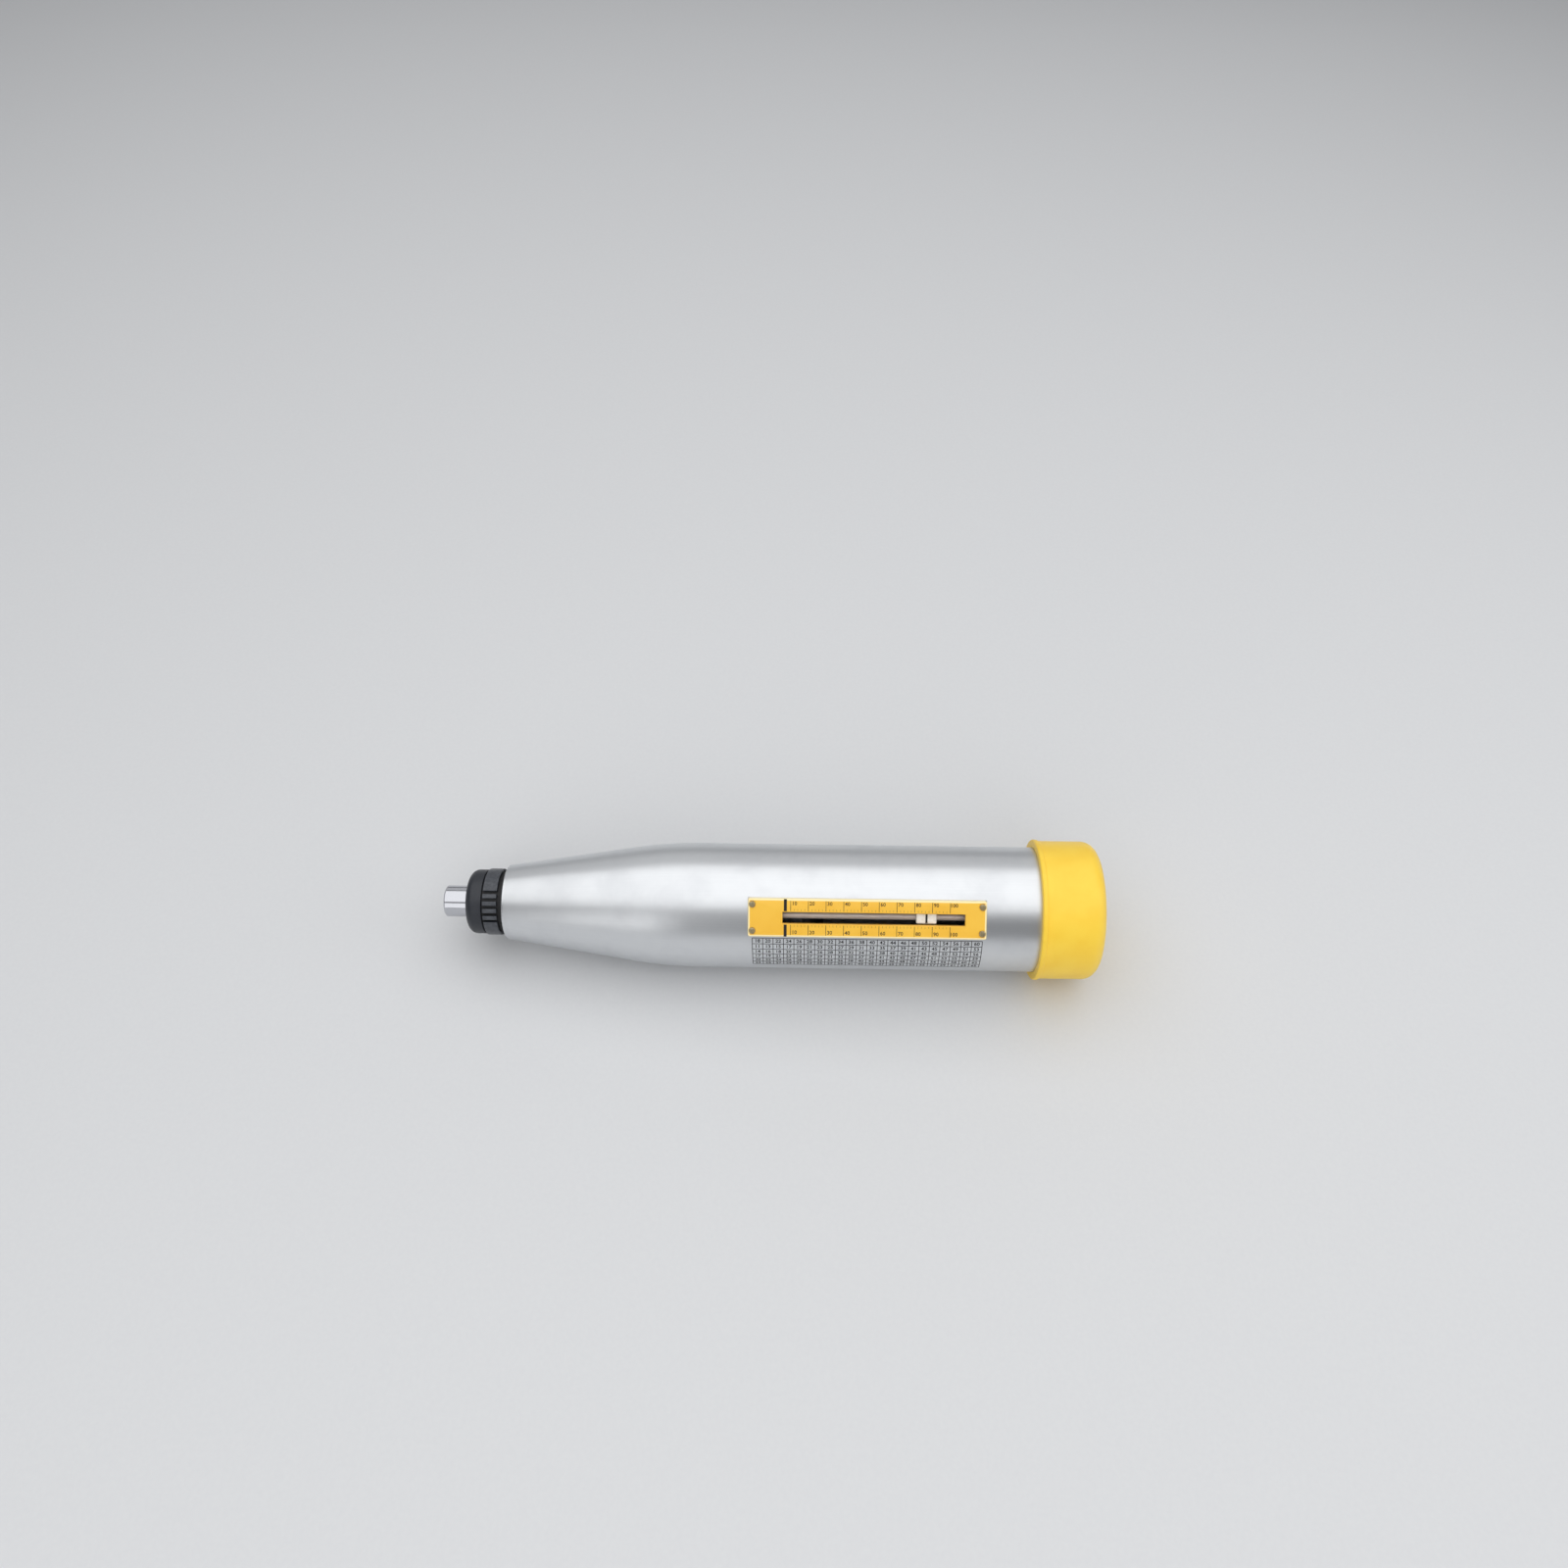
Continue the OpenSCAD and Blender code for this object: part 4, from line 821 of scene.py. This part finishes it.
band_middle, band = (PLATE_HALF_W + SLOT_HALF_W) / 2, PLATE_HALF_W - SLOT_HALF_W
fixed = dict(Level=PLATE_TOP, Thickness=INK_T, Cuts=2)
lines = []
for side in (-1, 1):
    lines.append(grow("bar", ruled, First=BAR_X, Pitch=1.0, Count=1, Width=BAR_W, Length=band - BAR_SHORT,
                      Middle=side * (band_middle + BAR_OUT), **fixed))
    lines.append(grow("tens", ruled, First=SCALE_FIRST, Pitch=SCALE_PITCH, Count=SCALE_LINES, Width=TEN_W,
                      Length=band - TEN_SHORT, Middle=side * (band_middle - TEN_IN), **fixed))
    lines.append(grow("twos", ruled, First=SCALE_FIRST, Pitch=SCALE_PITCH / FINE_PARTS,
                      Count=(SCALE_LINES - 1) * FINE_PARTS + 1, Width=FINE_W, Length=FINE_LEN,
                      Middle=side * (SLOT_HALF_W + FINE_OUT), **fixed))
done(bound("scale_lines", lines), "tube", "scale_enamel", ink)
numbers = [(10 * (k + 1), SCALE_FIRST + SCALE_PITCH * k + NUMBER_AHEAD, side * NUMBER_Y)
           for k in range(SCALE_LINES) for side in (-1, 1)]
done(figures("scale_numbers", numbers, NUMBER_H, PLATE_TOP, NUMBER_WEIGHT), "tube", "scale_enamel", ink)

# Plate screws: four small steel screws, chromated dull yellow, with low domed heads and a slot, through the
# plate's corners into the rod's blocks. Each head sits in a shallow sink, turned as the screwdriver left it.
SHANK_LEN, SHANK_R, SHANK_EDGE = 8.4, 1, 0.2
HEAD_R, HEAD_RISE, HEAD_DOME, HEAD_ROUND, HEAD_TURN = 1.35, 0.45, 0.05, 0.35, 1.1
HEAD_SLOT_FLOOR, HEAD_SLOT_TOP, HEAD_SLOT_HALF_W, HEAD_SLOT_RUN = 0.15, 1, 0.22, 3
chromated, shader, spot = finish("chromated_steel", Metallic=1.0)
bloom = spot.noise(1.6, 3).between(0.4, 0.7)
feed(shader, Base_Color=bloom.tint(rgb(196, 178, 134), rgb(168, 158, 138)), Roughness=0.4 + bloom * 0.12,
     Bump=spot.noise(4, 2) * 0.003)
screw = turned("screw", [
    (-SHANK_LEN, 0, 0), (-SHANK_LEN, SHANK_R, SHANK_EDGE), (-SINK_DEPTH, SHANK_R, 0),
    (-SINK_DEPTH, HEAD_R, 0), (HEAD_RISE, HEAD_R, HEAD_ROUND), (HEAD_RISE + HEAD_DOME, 0, 0)], around=40)
cut(screw, block("slot", (HEAD_SLOT_FLOOR, -HEAD_SLOT_HALF_W, -HEAD_SLOT_RUN),
                 (HEAD_SLOT_TOP, HEAD_SLOT_HALF_W, HEAD_SLOT_RUN)))
screw.data.transform(Matrix.Rotation(-math.pi / 2, 4, "Y"))
corners = Sketch("corner_screws", Screw="Object", Length="Float", Width="Float", Middle="Float",
                 Level="Float", Turn="Float")
corner_spots = corners.add("GeometryNodeTransform", None, {
    "Geometry": corners.add("GeometryNodeMeshGrid", None, {
        "Size X": corners.size("Length"), "Size Y": corners.size("Width"), "Vertices X": 2, "Vertices Y": 2}),
    "Translation": corners.add("ShaderNodeCombineXYZ", None, {
        "X": corners.size("Middle"), "Z": corners.size("Level")})})
quarter = corners.math("MULTIPLY", corners.add("GeometryNodeInputIndex"), corners.size("Turn"))
each_screw = corners.add("GeometryNodeObjectInfo", None, {"Object": corners.size("Screw")}, out="Geometry")
screws = corners.add("GeometryNodeInstanceOnPoints", None, {
    "Points": corner_spots, "Instance": each_screw,
    "Rotation": corners.add("FunctionNodeEulerToRotation", None, {0: corners.add(
        "ShaderNodeCombineXYZ", None, {"Z": quarter})})})
plate_screws = grow("plate_screws_slotted", corners.close(screws, chromated), Screw=screw,
                    Length=PLATE_TO - PLATE_FROM - 2 * SCREW_INSET, Width=2 * SCREW_Y, Middle=plate_middle,
                    Level=PLATE_TOP, Turn=HEAD_TURN)
bpy.data.objects.remove(screw)
done(plate_screws, "tube", "screw_steel", chromated, "plate_screws")

# Table on the tube: a dark printed grid of plain numbers on the barrel beside the plate, which turns a
# reading into a value. It is screen-printed and follows the barrel's round.
TABLE_FROM, TABLE_TO, TABLE_ROWS, TABLE_COLUMNS, TABLE_LINE_W, TABLE_BENDS = 127.5, 225.5, 6, 22, 0.3, 40
TABLE_NUMBER_H, TABLE_NUMBER_WEIGHT = 1.75, 0.05
READING_FIRST, READING_STEP, VALUE_FIRST, ROW_STEP = 18, 2, 8, 3
TABLE_NEAR, TABLE_FAR = math.radians(20) * TUBE_R, math.radians(57) * TUBE_R
table_len, table_w = TABLE_TO - TABLE_FROM, TABLE_FAR - TABLE_NEAR
cell_w, cell_h = table_len / TABLE_COLUMNS, table_w / TABLE_ROWS


def wrapped(piece):
    """Lays a flat print round the barrel, its height over the zero level out of the barrel."""
    for point in piece.data.vertices:
        x, along, out = point.co
        a, r = along / TUBE_R, TUBE_R + out
        point.co = (x, r * math.sin(a), r * math.cos(a))
    return piece


fixed = dict(Level=0.0, Thickness=INK_T)
table = [grow("columns", ruled, First=TABLE_FROM, Pitch=cell_w, Count=TABLE_COLUMNS + 1, Width=TABLE_LINE_W,
              Length=table_w, Middle=-(TABLE_NEAR + TABLE_FAR) / 2, Cuts=TABLE_BENDS, **fixed)]
for k in range(TABLE_ROWS + 1):
    table.append(grow("row", ruled, First=(TABLE_FROM + TABLE_TO) / 2, Pitch=1.0, Count=1, Width=table_len,
                      Length=TABLE_LINE_W, Middle=-TABLE_NEAR - cell_h * k, Cuts=2, **fixed))
done(wrapped(bound("table_lines", table)), "tube", "tube_aluminium", ink)
# The top row has the readings, in steps of two, and each row below it gives values for one way of holding.
entries = []
for r in range(TABLE_ROWS):
    for c in range(TABLE_COLUMNS):
        first = VALUE_FIRST + ROW_STEP * r if r else READING_FIRST
        number = first + READING_STEP * c
        entries.append((number, TABLE_FROM + cell_w * (c + 0.5), -TABLE_NEAR - cell_h * (r + 0.5)))
done(wrapped(figures("table_numbers", entries, TABLE_NUMBER_H, 0.0, TABLE_NUMBER_WEIGHT)), "tube",
     "tube_aluminium", ink)

# Setting: a pale floor on which the hammer lies by its lip and its shoulder, a wide soft lamp overhead,
# weaker ones behind and low at both ends, a fill from the front that no gloss shows, a grey surround, and the
# camera where the photograph was taken from.
FLOOR_R, FLOOR_SIDES = 2.1, 128
# The floor touches the tube and the lip at these places along and under the frame's origin, in metres.
LIE_NEAR, LIE_FAR = (-0.0523, -0.02747), (0.1009, -0.03102)
slope = (LIE_FAR[1] - LIE_NEAR[1]) / (LIE_FAR[0] - LIE_NEAR[0])
ground = LIE_NEAR[1] - slope * LIE_NEAR[0]
rim_turns = [2 * math.pi * k / FLOOR_SIDES for k in range(FLOOR_SIDES)]
floor_rim = [(FLOOR_R * math.cos(a), FLOOR_R * math.sin(a), ground + slope * FLOOR_R * math.cos(a))
             for a in rim_turns]
floor_mesh = bpy.data.meshes.new("floor")
floor_mesh.from_pydata(floor_rim, [], [tuple(range(FLOOR_SIDES))])
floor = placed("floor", floor_mesh)
paper, shader, spot = finish("pale_paper", Specular_IOR_Level=0.2)
tooth = spot.noise(0.6, 3)
feed(shader, Base_Color=tooth.tint(rgb(209, 210, 212), rgb(214, 215, 216)), Roughness=0.85 + tooth * 0.1)
floor_mesh.materials.append(paper)


def softbox(name, place, aim, width, depth, power):
    """A soft rectangular lamp that faces a point."""
    data = bpy.data.lights.new(name, "AREA")
    data.shape, data.size, data.size_y, data.energy = "RECTANGLE", width, depth, power
    lamp = placed(name, data)
    lamp.location = place
    lamp.rotation_euler = (Vector(aim) - Vector(place)).to_track_quat("-Z", "Y").to_euler()
    return lamp


softbox("lamp_overhead", (0.0, 0.02, 1.0), (0.0, 0.02, 0), 2.2, 1.84, 14.6)
softbox("lamp_back", (0, 1.35, 0.62), (0, 0, 0), 2.2, 0.75, 2.2)
softbox("lamp_nose", (-0.55, -1.1, 0.41), (-0.15, 0, 0), 0.45, 0.75, 1.2)
softbox("lamp_tail", (1.2, -0.1, 0.5), (0.12, 0, 0), 0.8, 0.8, 2.4)
fill = softbox("lamp_fill", (0.1, -1.2, 0.75), (0, 0, 0), 1.2, 0.8, 5.0)
fill.visible_glossy = False
SURROUND = (0.21, 0.214, 0.222, 1)
world = bpy.data.worlds.new("studio")
bpy.context.scene.world = world
world.use_nodes = True
background = world.node_tree.nodes["Background"]
background.inputs["Color"].default_value, background.inputs["Strength"].default_value = SURROUND, 1.0

# The camera's place in metres, its turn, height and tilt in degrees, and its lens on a sensor in millimetres.
EYE, AZIMUTH, ELEVATION, ROLL = (0.00366, -0.31393, 0.45611), 2.2537, 49.8007, -1.0349
LENS, SENSOR, CLIP_START = 28.296, 36, 0.01
az, el, roll = math.radians(AZIMUTH), math.radians(ELEVATION), math.radians(ROLL)
back = Vector((math.sin(az) * math.cos(el), -math.cos(az) * math.cos(el), math.sin(el)))
level_right = (-back).cross(Vector((0, 0, 1))).normalized()
level_up = level_right.cross(-back)
right = level_right * math.cos(roll) + level_up * math.sin(roll)
up = level_up * math.cos(roll) - level_right * math.sin(roll)
camera_data = bpy.data.cameras.new("camera")
camera_data.lens, camera_data.sensor_width, camera_data.clip_start = LENS, SENSOR, CLIP_START
camera = placed("camera", camera_data)
camera.matrix_world = Matrix([(right[i], up[i], back[i], EYE[i]) for i in range(3)] + [(0, 0, 0, 1)])
bpy.context.scene.camera = camera
bpy.context.scene.view_settings.view_transform = "Standard"
